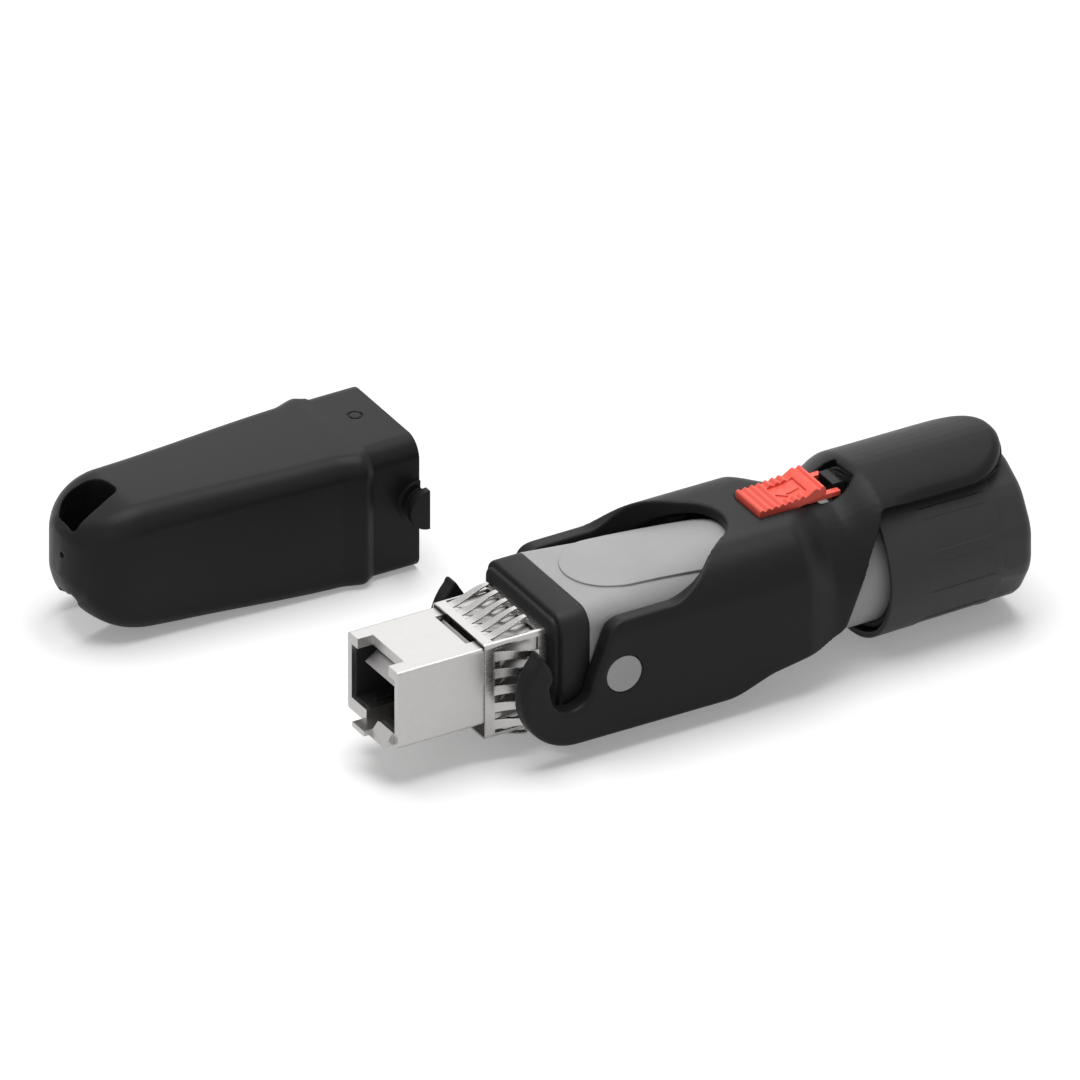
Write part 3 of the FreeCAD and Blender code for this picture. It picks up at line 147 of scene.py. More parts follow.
glow = tree.nodes.new("ShaderNodeEmission")
glow.inputs["Color"].default_value = (1, 1, 1, 1)
glow.inputs["Strength"].default_value = PAPER_GLOW
bright = tree.nodes.new("ShaderNodeAddShader")
tree.links.new(paper.outputs[0], bright.inputs[0])
tree.links.new(glow.outputs[0], bright.inputs[1])
sheet_out = tree.nodes.new("ShaderNodeOutputMaterial")
sheet_face = white_for_the_lens(tree, paper.outputs[0], bright.outputs[0])
tree.links.new(sheet_face, sheet_out.inputs["Surface"])
table.data.materials.append(sheet)


# Body and pivot pins. Light grey glass-filled nylon, injection moulded with a fine spark texture.
# The body is flush with the seal in front and round behind, with a bare oblong plaque on its
# upper face. The pins are pressed into its bosses with their heads in the lever's bores.
MM = 0.001
SEAL_FACE, BODY_FACE, BODY_ROUND, BODY_SHOULDER, BODY_END, BODY_STEPS = 23.85, 29.10, 58.0, 80.5, 91.0, 24
FLANGE_HALF, FLANGE_TOP, FLANGE_LOW, FLANGE_CORNER = 10.7, 9.7, -9.6, 2.8
BARREL_RADIUS, SPIGOT_RADIUS, CORE_RADIUS, CORNER_SLACK = 10.1, 9.4, 8.0, 0.02
SHELL_HALF, SHELL_TOP, SHELL_END = 7.1, 6.2, 33.65
PLAQUE_HALF, PLAQUE_FRONT, PLAQUE_BACK, PLAQUE_STEP, PLAQUE_FOOT = 7.0, 31.2, 57.2, 0.25, 5
PIN_X, PIN_RADIUS, BOSS_RADIUS, BOSS_FOOT, BOSS_FACE = 33.0, 1.5, 3.3, 8.5, 10.75
LUG_FRONT, LUG_BACK, LUG_HALF, LUG_FOOT, LUG_GAP = 73.6, 76.0, 2.0, 8.6, 0.05
CLOUD_SCALE, CLOUD_DETAIL, CLOUD_LOW, CLOUD_HIGH = 90, 3, 0.3, 0.7
SPARK_DETAIL, SPARK_STRENGTH, ROUGH_SPREAD, EDGE_SAMPLES = 4, 0.5, 0.06, 4


def moulded(name, colour, rough, grain, depth, tint=0.06, gloss=0.5, edge=0.00018):
    """Moulded plastic: an even colour with faint flow clouds, a fine spark texture, soft edges."""
    material = bpy.data.materials.new(name)
    material.use_nodes = True
    tree = material.node_tree
    shader = tree.nodes["Principled BSDF"]
    place = tree.nodes.new("ShaderNodeTexCoord")
    cloud = tree.nodes.new("ShaderNodeTexNoise")
    cloud.inputs["Scale"].default_value = CLOUD_SCALE
    cloud.inputs["Detail"].default_value = CLOUD_DETAIL
    tree.links.new(place.outputs["Object"], cloud.inputs["Vector"])
    ramp = tree.nodes.new("ShaderNodeValToRGB")
    ramp.color_ramp.elements[0].position = CLOUD_LOW
    ramp.color_ramp.elements[1].position = CLOUD_HIGH
    ramp.color_ramp.elements[0].color = (*[c * (1 - tint) for c in colour], 1)
    ramp.color_ramp.elements[1].color = (*[min(c * (1 + tint), 1) for c in colour], 1)
    tree.links.new(cloud.outputs["Fac"], ramp.inputs["Fac"])
    tree.links.new(ramp.outputs["Color"], shader.inputs["Base Color"])
    spark = tree.nodes.new("ShaderNodeTexNoise")
    spark.inputs["Scale"].default_value = grain
    spark.inputs["Detail"].default_value = SPARK_DETAIL
    tree.links.new(place.outputs["Object"], spark.inputs["Vector"])
    worn = tree.nodes.new("ShaderNodeMapRange")
    worn.inputs["To Min"].default_value = rough - ROUGH_SPREAD
    worn.inputs["To Max"].default_value = rough + ROUGH_SPREAD
    tree.links.new(spark.outputs["Fac"], worn.inputs["Value"])
    tree.links.new(worn.outputs["Result"], shader.inputs["Roughness"])
    soft_edge = tree.nodes.new("ShaderNodeBevel")
    soft_edge.samples = EDGE_SAMPLES
    soft_edge.inputs["Radius"].default_value = edge
    bump = tree.nodes.new("ShaderNodeBump")
    bump.inputs["Strength"].default_value = SPARK_STRENGTH
    bump.inputs["Distance"].default_value = depth
    tree.links.new(spark.outputs["Fac"], bump.inputs["Height"])
    tree.links.new(soft_edge.outputs["Normal"], bump.inputs["Normal"])
    tree.links.new(bump.outputs["Normal"], shader.inputs["Normal"])
    shader.inputs["Specular IOR Level"].default_value = gloss
    return material


def dress(material, *names):
    """Gives CAD nodes their finish."""
    for name in names:
        node = nodes[name]
        if node.data.materials:
            for i in range(len(node.data.materials)):
                node.data.materials[i] = material
        else:
            node.data.materials.append(material)


def arc(x, z, radius, start, end, steps):
    """Points along a circle, from one angle to another in degrees."""
    turns = [math.radians(start + (end - start) * i / steps) for i in range(steps + 1)]
    return [(x + radius * math.cos(turn), z + radius * math.sin(turn)) for turn in turns]


def circle(x, z, radius, points):
    """A whole circle of points."""
    return arc(x, z, radius, 0, 360 - 360 / points, points - 1)


def rectangle(u, v, u_end, v_end):
    """A rectangle between two opposite corners."""
    return [(u, v), (u_end, v), (u_end, v_end), (u, v_end)]


def rounded_ring(half, low, high, above, middle=0.0, below=None, steps=12):
    """A section across the plug, as (y, z) points: a rectangle with its corners rounded."""
    points = []
    for side_y, side_z, start in ((1, 1, 0), (-1, 1, 90), (-1, -1, 180), (1, -1, 270)):
        corner = above if side_z > 0 or below is None else below
        y = middle + side_y * (half - corner)
        z = (high if side_z > 0 else low) - side_z * corner
        points += arc(y, z, corner, start, start + 90, steps)
    return points


def solid(name, form):
    """A mesh object from a closed form in millimetres."""
    bmesh.ops.remove_doubles(form, verts=form.verts, dist=1e-4)
    bmesh.ops.recalc_face_normals(form, faces=form.faces)
    mesh = bpy.data.meshes.new(name)
    form.to_mesh(mesh)
    form.free()
    thing = bpy.data.objects.new(name, mesh)
    bpy.context.scene.collection.objects.link(thing)
    return thing


def joined(form, ring, after):
    """Faces between two rings of as many points."""
    for i in range(len(ring)):
        j = (i + 1) % len(ring)
        form.faces.new((ring[i], ring[j], after[j], after[i]))


def skinned(name, stations):
    """A closed form through sections (x, points) with as many points each."""
    form = bmesh.new()
    rings = [[form.verts.new((x, y, z)) for y, z in points] for x, points in stations]
    for ring, after in zip(rings, rings[1:]):
        joined(form, ring, after)
    form.faces.new(rings[0])
    form.faces.new(rings[-1])
    return solid(name, form)


def plate(name, axis, outline, low, high):
    """A flat plate with an outline, from low to high along an axis."""
    turned = {"X": lambda u, v, w: (w, u, v), "Y": lambda u, v, w: (u, w, v), "Z": lambda u, v, w: (u, v, w)}
    place = turned[axis]
    form = bmesh.new()
    near = [form.verts.new(place(u, v, low)) for u, v in outline]
    far = [form.verts.new(place(u, v, high)) for u, v in outline]
    joined(form, near, far)
    form.faces.new(near)
    form.faces.new(far)
    return solid(name, form)


def baked(thing):
    """Puts what a form's modifiers do into its mesh."""
    graph = bpy.context.evaluated_depsgraph_get()
    mesh = bpy.data.meshes.new_from_object(thing.evaluated_get(graph))
    thing.modifiers.clear()
    thing.data = mesh
    return thing


def worked(base, tool, how):
    """Adds a form to another, takes it away or keeps what both hold."""
    change = base.modifiers.new(how, "BOOLEAN")
    change.operation = how
    change.solver = "EXACT"
    change.object = tool
    baked(base)
    bpy.data.objects.remove(tool)
    return base


def finished(thing, material, body, replaced=None, crease=32):
    """Brings a form to metres, smooths it up to its creases, hangs it on its body and hides the CAD node it
    stands for.
    """
    thing.data.transform(Matrix.Scale(MM, 4))
    thing.data.materials.clear()
    thing.data.materials.append(material)
    thing.data.shade_smooth()
    thing.data.set_sharp_from_angle(angle=math.radians(crease))
    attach(thing, body)
    if replaced:
        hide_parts(replaced)


def body_stations(proud=0.0):
    """The body's sections, from its square front to where it is round."""
    stations = []
    for i in range(BODY_STEPS + 1):
        part = i / BODY_STEPS
        half = FLANGE_HALF + (BARREL_RADIUS - FLANGE_HALF) * part + proud
        high = FLANGE_TOP + (BARREL_RADIUS - FLANGE_TOP) * part + proud
        low = FLANGE_LOW - (BARREL_RADIUS + FLANGE_LOW) * part - proud
        corner = FLANGE_CORNER + (BARREL_RADIUS - FLANGE_CORNER - CORNER_SLACK) * part
        x = BODY_FACE + (BODY_ROUND - BODY_FACE) * i / BODY_STEPS
        stations.append((x, rounded_ring(half, low, high, corner)))
    return stations


grey_nylon = moulded("grey_nylon", (0.335, 0.34, 0.335), rough=0.48, grain=3800, depth=0.00004)
dress(grey_nylon, "pivot_pin_right", "pivot_pin_left")
stations = body_stations()
grey_body = skinned("body_moulding", stations + [(BODY_SHOULDER, stations[-1][1])])
oblong = (arc(PLAQUE_BACK - PLAQUE_HALF, 0, PLAQUE_HALF, -90, 90, 32)
          + arc(PLAQUE_FRONT + PLAQUE_HALF, 0, PLAQUE_HALF, 90, 270, 32))
plaque = worked(skinned("plaque_skin", body_stations(PLAQUE_STEP)),
                plate("oblong", "Z", oblong, PLAQUE_FOOT, BARREL_RADIUS + 4), "INTERSECT")
grey_body = worked(grey_body, plaque, "UNION")
spigot = plate("spigot", "X", circle(0, 0, SPIGOT_RADIUS, 96), BODY_SHOULDER - 1, BODY_END)
grey_body = worked(grey_body, spigot, "UNION")
for side in (1, -1):
    boss_span = sorted((side * BOSS_FOOT, side * BOSS_FACE))
    boss = plate("boss", "Y", circle(PIN_X, 0, BOSS_RADIUS, 48), *boss_span)
    grey_body = worked(grey_body, boss, "UNION")
    hole_span = sorted((side * (BOSS_FOOT - 0.05), side * (BOSS_FACE + 1.25)))
    hole = plate("pin_hole", "Y", circle(PIN_X, 0, PIN_RADIUS, 30), *hole_span)
    grey_body = worked(grey_body, hole, "DIFFERENCE")
core = plate("core", "X", circle(0, 0, CORE_RADIUS, 60), SHELL_END - 0.1, BODY_END + 1)
grey_body = worked(grey_body, core, "DIFFERENCE")
shell_room = rectangle(-SHELL_HALF, -SHELL_TOP, SHELL_HALF, SHELL_TOP)
grey_body = worked(grey_body, plate("shell_way", "X", shell_room, BODY_FACE - 1, SHELL_END), "DIFFERENCE")
lug_room = rectangle(LUG_FRONT - LUG_GAP, -LUG_HALF - LUG_GAP, LUG_BACK + LUG_GAP, LUG_HALF + LUG_GAP)
grey_body = worked(grey_body, plate("lug_seat", "Z", lug_room, LUG_FOOT, 12), "DIFFERENCE")
finished(grey_body, grey_nylon, "plug", "plug_body", crease=20)

# Flange seal. Black silicone rubber, moulded, held between the collar and the body, with a lip ring
# on its face that presses on the panel. The ring in the body's groove and the cable seal in the
# cage are of the same rubber. Its roundings are pairs of depth and inset.
LIP_RING, LIP_INSET, SEAL_GAP = 0.7, 0.9, 0.05
LIP_ROUNDING = [(0.0, 0.25), (0.1, 0.08), (0.25, 0.0), (LIP_RING, 0.0)]
FLANGE_ROUNDING = [(0.0, 0.5), (0.15, 0.15), (0.5, 0.0)]


def seal_ring(inset):
    """The seal's section, set in from the body's front."""
    return rounded_ring(FLANGE_HALF - inset, FLANGE_LOW + inset, FLANGE_TOP - inset, FLANGE_CORNER - inset)


seal_rubber = moulded("seal_rubber", (0.010, 0.010, 0.010), rough=0.5, grain=2600, depth=0.00002,
                      gloss=0.2, edge=0.0004)
dress(seal_rubber, "body_o_ring", "cable_seal")
stations = [(SEAL_FACE + depth, seal_ring(LIP_INSET + inset)) for depth, inset in LIP_ROUNDING]
stations += [(SEAL_FACE + LIP_RING + depth, seal_ring(inset)) for depth, inset in FLANGE_ROUNDING]
flange = skinned("flange_seal_moulding", stations + [(BODY_FACE - SEAL_GAP, seal_ring(0.0))])
flange = worked(flange, plate("seal_way", "X", shell_room, SEAL_FACE - 1, BODY_FACE + 1), "DIFFERENCE")
finished(flange, seal_rubber, "plug", "flange_seal")

# Coupling lever and its catch. Black nylon, moulded in one piece: two hooked arms, a bridge with a
# window, a waist and a tongue that follows the nut. It is snapped over the pivots. The catch is a
# lug of the same plastic let into the body. Its sections are rows of x, half width, top and corner.
LEVER_HALF, ARM_INNER, RIM, BELOW, ABOVE = 13.65, 10.9, 0.7, -25, 19
LEVER_SECTIONS = [(14, 13.7, 12.4, 7.0), (63.0, 13.7, 12.4, 7.0), (68.7, 12.4, 12.4, 12.3),
                  (72.2, 12.4, 12.4, 12.3), (77.6, 14.8, 14.8, 14.7), (102.0, 14.8, 14.8, 14.7)]
HOOK_X, HOOK_Z, HOOK_RADIUS = 25.6, -0.6, 8.95
THROAT_X, THROAT_Z, THROAT_RADIUS = 24.7, -0.55, 3.3
SWELL_X, SWELL_RUN, SWELL_FOOT, SWELL_RISE, SWELL_STEPS = 51.6, 10.6, 8.3, 4.35, 20
ROOM_TOP, ROOM_CORNER, WAIST_CORNER, WAIST_X, WAIST_END = 10.7, 7.0, 10.6, 58.0, 75.4
WINDOW_FOOT, WINDOW_X, WINDOW_RADIUS = 2.8, 50.1, 6.4
HEAD_BORE, NUT_ROOM = 2.86, 12.7
WELL_FRONT, WELL_BACK, WELL_HALF, WELL_FLOOR = 60.75, 73.55, 3.65, 11.9
TUNNEL_FRONT, TUNNEL_BACK, TUNNEL_TOP, TUNNEL_CORNER, TUNNEL_FOOT = 70.6, 77.0, 14.2, 1.8, 8.7
STEM_FRONT, STEM_BACK, STEM_HALF, STEM_FOOT, STEM_TOP = 63.0, 67.0, 1.8, 10.72, 12.4
STEM_PLAY, SLIDE_TRAVEL, SLOT_FOOT, SLOT_TOP = 0.15, 1.8, 9.7, 12.5
TONGUE_START, TONGUE_TURN, TONGUE_END, TONGUE_SIDE = 80, 91.8, 103, 9.3
TONGUE_RADIUS, TONGUE_FLAT, TONGUE_ROUND, TONGUE_SKIN = 8.8, 0.5, 1.6, 13.3
FADE_RUN, FADE_RISE, ROUND_SHARE = 4, 1.2, 0.85
LEVER_GRAIN, LEVER_PASSES, LEVER_TRIANGLES = 0.2, 8, 190000


def eased(corners):
    """An outline whose corners (u, v, radius) are rounded."""
    points = []
    for i, corner in enumerate(corners):
        here = Vector(corner[:2])
        if len(corner) == 2:
            points.append(tuple(here))
            continue
        before = Vector(corners[i - 1][:2]) - here
        after = Vector(corners[(i + 1) % len(corners)][:2]) - here
        half = before.angle(after) / 2
        run = min(corner[2] / math.tan(half), 0.48 * before.length, 0.48 * after.length)
        radius = run * math.tan(half)
        before.normalize()
        after.normalize()
        centre = here + (before + after).normalized() * radius / math.sin(half)
        first, last = here + before * run - centre, here + after * run - centre
        steps = max(3, int((math.pi - 2 * half) / math.radians(7)))
        for k in range(steps + 1):
            spoke = first.lerp(last, k / steps).normalized() * radius
            points.append(tuple(centre + spoke))
    return points


def soft_plate(name, outline, half, rim):
    """A plate across the plug with rounded rims on both faces."""
    curve = bpy.data.curves.new(name, "CURVE")
    curve.dimensions = "2D"
    curve.fill_mode = "BOTH"
    spline = curve.splines.new("POLY")
    spline.points.add(len(outline) - 1)
    for point, (x, z) in zip(spline.points, outline):
        point.co = (x, z, 0, 1)
    spline.use_cyclic_u = True
    curve.extrude = half - rim
    curve.bevel_depth = rim
    curve.offset = -rim
    curve.bevel_resolution = 3
    holder = bpy.data.objects.new(name + "_curve", curve)
    bpy.context.scene.collection.objects.link(holder)
    graph = bpy.context.evaluated_depsgraph_get()
    mesh = bpy.data.meshes.new_from_object(holder.evaluated_get(graph))
    bpy.data.objects.remove(holder)
    mesh.transform(Matrix.Rotation(math.radians(90), 4, "X"))
    form = bmesh.new()
    form.from_mesh(mesh)
    return solid(name, form)


def arch(half, top, corner, low=-20.0, steps=16):
    """A section of the lever: straight sides, round upper corners."""
    points = [(half, low)]
    points += arc(half - corner, top - corner, corner, 0, 90, steps)
    points += arc(-half + corner, top - corner, corner, 90, 180, steps)
    return points + [(-half, low)]


def soft_step(part):
    """Rises from 0 to 1 with a level start and end."""
    return part * part * (3 - 2 * part)


def between(table, x):
    """Sizes at a place along the plug, blended softly between the rows of a table."""
    for (start, *first), (end, *last) in zip(table, table[1:]):
        if x <= end:
            part = (x - start) / (end - start)
            part = 0.5 * part + 0.5 * soft_step(part)
            return [a + (b - a) * part for a, b in zip(first, last)]
    return table[-1][1:]


def softened(thing, grain, passes):
    """Rounds every edge of a moulding a little: an even fine mesh, smoothed."""
    even = thing.modifiers.new("even", "REMESH")
    even.mode = "VOXEL"
    even.voxel_size = grain
    calm = thing.modifiers.new("calm", "SMOOTH")
    calm.factor = 0.5
    calm.iterations = passes
    return baked(thing)


def thinned(thing, most):
    """Brings a mesh under a number of triangles."""
    count = sum(len(face.vertices) - 2 for face in thing.data.polygons)
    if count > most:
        fewer = thing.modifiers.new("fewer", "DECIMATE")
        fewer.ratio = most / count
        baked(thing)
    return thing


def tongue_drop(x, y, above):
    """How far the tongue's rounded edge lies under its skin, at a height above the plug's axis."""
    inward = TONGUE_SIDE - abs(y)
    if x > TONGUE_TURN:
        inward = min(inward, TONGUE_RADIUS - math.hypot(x - TONGUE_TURN, max(abs(y) - TONGUE_FLAT, 0)))
    if inward >= TONGUE_ROUND:
        return 0.0
    deep = TONGUE_ROUND - max(inward, 0)
    drop = TONGUE_ROUND - math.sqrt(max(TONGUE_ROUND ** 2 - deep ** 2, 0))
    fade = min((x - TONGUE_START) / FADE_RUN, 1) * min((above - TONGUE_SKIN) / FADE_RISE, 1)
    return drop * fade * ROUND_SHARE


black_nylon = moulded("black_nylon", (0.010, 0.010, 0.0105), rough=0.40, grain=3600, depth=0.00003,
                      gloss=0.14, edge=0.0003)
dress(black_nylon, "lever_catch")
places = [14, 40, 55, 60] + [62.5 + 0.5 * i for i in range(34)] + [85, 92, 98, 102.0]
bridge = skinned("lever_moulding", [(x, arch(*between(LEVER_SECTIONS, x))) for x in places])
swell = [(SWELL_X - SWELL_RUN * i / SWELL_STEPS, SWELL_FOOT + SWELL_RISE * soft_step(1 - i / SWELL_STEPS))
         for i in range(SWELL_STEPS + 1)]
hook = [(19.6, 6.8, 0.45)] + arc(HOOK_X, HOOK_Z, HOOK_RADIUS, 136, 270, 30)
lower_edge = [(51.4, -9.55, 9), (57.4, -7.35, 8), (63.4, -6.3, 12), (69.9, -4.2, 2.0), (74.4, 6.4, 7)]
tongue = [(77.5, 11.51, 1.2), (TONGUE_END, 11.51), (TONGUE_END, 18), (54, 18)]
throat = [(31.46, 8.2, 2.6)] + arc(THROAT_X, THROAT_Z, THROAT_RADIUS, 0, -180, 24)
barb = [(21.1, 0.7, 0.5), (21.85, 2.1, 0.5), (21.35, 3.9, 1.5)]
side_outline = eased(hook + lower_edge + tongue + swell + throat + barb)
lever = worked(bridge, soft_plate("lever_side", side_outline, LEVER_HALF, RIM), "INTERSECT")
wide_room = arch(ARM_INNER, ROOM_TOP, ROOM_CORNER, BELOW)
waist_room = arch(ARM_INNER, ROOM_TOP, WAIST_CORNER, BELOW)
room = skinned("lever_room", [(10, wide_room), (WAIST_X - 0.1, wide_room), (WAIST_X + 0.1, waist_room),
                              (WAIST_END, waist_room)])
lever = worked(lever, room, "DIFFERENCE")
over_nut = plate("over_nut", "X", circle(0, 0, NUT_ROOM, 144), WAIST_END - 0.01, TONGUE_END + 1)
lever = worked(lever, over_nut, "DIFFERENCE")
window = eased([(8, -ARM_INNER), (46.8, -ARM_INNER, 5), (53.3, -5.5, 1.5)]
               + arc(WINDOW_X, 0, WINDOW_RADIUS, -55, 55, 18)
               + [(53.3, 5.5, 1.5), (46.8, ARM_INNER, 5), (8, ARM_INNER)])
lever = worked(lever, plate("window", "Z", window, WINDOW_FOOT, ABOVE), "DIFFERENCE")
well = rectangle(WELL_FRONT, -WELL_HALF, WELL_BACK, WELL_HALF)
lever = worked(lever, plate("slider_seat", "Z", well, WELL_FLOOR, ABOVE), "DIFFERENCE")
slot_half = STEM_HALF + STEM_PLAY
slot = rectangle(STEM_FRONT - STEM_PLAY, -slot_half, STEM_BACK + SLIDE_TRAVEL + STEM_PLAY, slot_half)
lever = worked(lever, plate("stem_slot", "Z", slot, SLOT_FOOT, SLOT_TOP), "DIFFERENCE")
mouth = arch(WELL_HALF, TUNNEL_TOP, TUNNEL_CORNER, TUNNEL_FOOT, 8)
lever = worked(lever, plate("well_mouth", "X", mouth, TUNNEL_FRONT, TUNNEL_BACK), "DIFFERENCE")
beyond = [(TONGUE_TURN, -14), (TONGUE_END, -14), (TONGUE_END, 14), (TONGUE_TURN, 14)]
beyond += arc(TONGUE_TURN, TONGUE_FLAT, TONGUE_RADIUS, 90, 0, 16)
beyond += arc(TONGUE_TURN, -TONGUE_FLAT, TONGUE_RADIUS, 0, -90, 16)
lever = worked(lever, plate("tongue_end", "Z", beyond, 5, ABOVE), "DIFFERENCE")
bores = plate("pivot_bores", "Y", circle(PIN_X, 0, HEAD_BORE, 48), -16, 16)
lever = worked(lever, bores, "DIFFERENCE")
lever = softened(lever, LEVER_GRAIN, LEVER_PASSES)
for vertex in lever.data.vertices:
    x, y, z = vertex.co
    above = math.hypot(y, z)
    if x >= TONGUE_START and above >= TONGUE_SKIN:
        drop = tongue_drop(x, y, above)
        vertex.co.y -= y / above * drop
        vertex.co.z -= z / above * drop
lever = thinned(lever, LEVER_TRIANGLES)
finished(lever, black_nylon, "lever", "coupling_lever", crease=60)

# Lock slider. Red acetal, moulded: ribs for the thumb, a bare arrow in a shallow recess, a stem that
# snaps into the lever's slot and two prongs that reach beside the catch.
SLIDER_FRONT, SLIDER_UNDER, SLIDER_HALF = 60.9, 11.95, 3.5
RIBS, RIB_FIRST, RIB_PITCH, RIB_HEIGHT, RIB_SHOULDER = 7, 61.35, 1.1, 0.27, 0.12
PAD_TOP, PAD_RISE, REAR_RIB, REAR_RISE = 12.95, 0.04, 3, 0.06
PRONG_FRONT, PRONG_END, PRONG_INNER, PRONG_OUTER, PRONG_LOW, PRONG_TOP = 68.4, 74.2, 2.15, 3.2, 11.97, 12.7
red_acetal = moulded("red_acetal", (0.86, 0.115, 0.08), rough=0.42, grain=4200, depth=0.00002,
                     gloss=0.35, edge=0.00015)
ribs = []
for i in range(RIBS):
    crest = RIB_FIRST + RIB_PITCH * i
    height = PAD_TOP + PAD_RISE * i + (REAR_RISE * max(i - REAR_RIB, 0))
    ribs += [(crest - 0.32, height + RIB_SHOULDER), (crest - 0.1, height + RIB_HEIGHT),
             (crest + 0.12, height + RIB_HEIGHT), (crest + 0.36, height), (crest + 0.6, height)]
ridges = [(69.2, 13.75), (69.9, 14.2), (70.25, 14.25), (70.5, 13.98), (70.8, 13.98), (71.05, 14.3),
          (71.4, 14.3), (71.7, 13.9), (71.7, 13.2)]
under = [(71.5, 12.75), (69.0, 12.45), (67.0, SLIDER_UNDER), (SLIDER_FRONT, SLIDER_UNDER)]
top = [(SLIDER_FRONT, 12.7)] + ribs + ridges
slider = plate("slider_moulding", "Y", top[::-1] + under[::-1], -SLIDER_HALF, SLIDER_HALF)
recess = plate("recess", "Y", [(65.0, 12.85), (67.4, 13.0), (69.2, 13.45), (69.2, 16), (65.0, 16)], -2.3, 1.9)
slider = worked(slider, recess, "DIFFERENCE")
arrow = [(65.3, -0.2), (66.6, -1.5), (66.6, -0.8), (68.8, -0.8), (68.8, 0.4), (66.6, 0.4), (66.6, 1.1)]
arrow_skin = [(65, 12), (69, 12), (69, 13.55), (67.4, 13.2), (65, 13.05)]
pointer = plate("arrow", "Z", arrow, STEM_TOP, 14)
pointer = worked(pointer, plate("arrow_skin", "Y", arrow_skin, -3, 3), "INTERSECT")
slider = worked(slider, pointer, "UNION")
stem = plate("stem", "Z", rectangle(STEM_FRONT, -STEM_HALF, STEM_BACK, STEM_HALF), STEM_FOOT, STEM_TOP)
slider = worked(slider, stem, "UNION")
for side in (1, -1):
    near, far = sorted((side * PRONG_INNER, side * PRONG_OUTER))
    prong = plate("prong", "Z", rectangle(PRONG_FRONT, near, PRONG_END, far), PRONG_LOW, PRONG_TOP)
    slider = worked(slider, prong, "UNION")
finished(slider, red_acetal, "slider", "lock_slider", crease=25)

# Gland nut. Dark grey nylon, moulded with shallow grip panels, screwed on the body by hand or with
# a spanner on the faint flats at its rear. Its places along x are where its outline turns.
NUT_FRONT, NUT_END, NUT_RADIUS, NUT_TAPER, NUT_ROUND, NUT_BEVEL = 77.3, 101.1, 12.4, 0.5, 2.0, 0.2
NUT_MOUTH, MOUTH_END, NUT_THREAD, THREAD_END = 11.5, 81.5, 9.46, 93.1
NUT_EXIT, EXIT_START, CONE_WIDE, CONE_NARROW = 6.3, 99.3, 8.2, 6.85
PANELS, PANEL_FRONT, PANEL_BACK, PANEL_EDGE, PANEL_DEPTH, PANEL_RAMP = 12, 83.8, 94.7, 11.35, 0.11, 0.8
FLAT_START, FLAT_DEPTH = 95.8, 0.16
NUT_PLACES = [77.3, 77.4, 77.6, 80, 83.7, 83.85, 84.6, 86, 92, 93.9, 94.65, 94.8, 95.45, 95.75, 95.85, 98]
PANEL_TURNS = [-14.9, -13, -11.5, -11.2, -8, -4, 0, 4, 8, 11.2, 11.5, 13]
FRONT_EASE = {77.3: 0.12, 77.4: 0.03}


def nut_radius(x, turn):
    """The nut's outer radius at degrees from a grip panel's middle."""
    radius = NUT_RADIUS - NUT_TAPER * (x - NUT_FRONT) / (NUT_END - NUT_FRONT)
    if abs(turn) < PANEL_EDGE and PANEL_FRONT < x < PANEL_BACK:
        radius -= PANEL_DEPTH * min((x - PANEL_FRONT) / PANEL_RAMP, (PANEL_BACK - x) / PANEL_RAMP, 1)
    if x > FLAT_START:
        radius = min(radius, (NUT_RADIUS - NUT_TAPER - FLAT_DEPTH) / math.cos(math.radians(turn)))
    over = x - (NUT_END - NUT_ROUND)
    if over > 0:
        radius -= NUT_ROUND - math.sqrt(max(NUT_ROUND ** 2 - over ** 2, 0))
    return radius - FRONT_EASE.get(x, 0)


nut_nylon = moulded("nut_nylon", (0.036, 0.0365, 0.037), rough=0.44, grain=3600, depth=0.00003, gloss=0.2)
outer = NUT_PLACES + [NUT_END - NUT_ROUND]
outer += [NUT_END - NUT_ROUND + NUT_ROUND * math.sin(math.radians(10 * i)) for i in range(1, 10)]
inner = [(NUT_END, NUT_EXIT + NUT_BEVEL), (NUT_END - NUT_BEVEL, NUT_EXIT), (EXIT_START, NUT_EXIT),
         (EXIT_START, CONE_NARROW), (THREAD_END, CONE_WIDE), (THREAD_END, NUT_THREAD),
         (MOUTH_END, NUT_THREAD), (MOUTH_END, NUT_MOUTH), (NUT_FRONT + NUT_BEVEL, NUT_MOUTH),
         (NUT_FRONT, NUT_MOUTH + NUT_BEVEL)]
form = bmesh.new()
spokes = []
for panel in range(PANELS):
    for turn in PANEL_TURNS:
        angle = math.radians(90 + 360 / PANELS * panel + turn)
        rim = [(x, nut_radius(x, turn)) for x in outer]
        spokes.append([form.verts.new((x, radius * math.cos(angle), radius * math.sin(angle)))
                       for x, radius in rim + inner])
for spoke, after in zip(spokes, spokes[1:] + spokes[:1]):
    joined(form, spoke, after)
finished(solid("nut_moulding", form), nut_nylon, "nut", "gland_nut", crease=24)

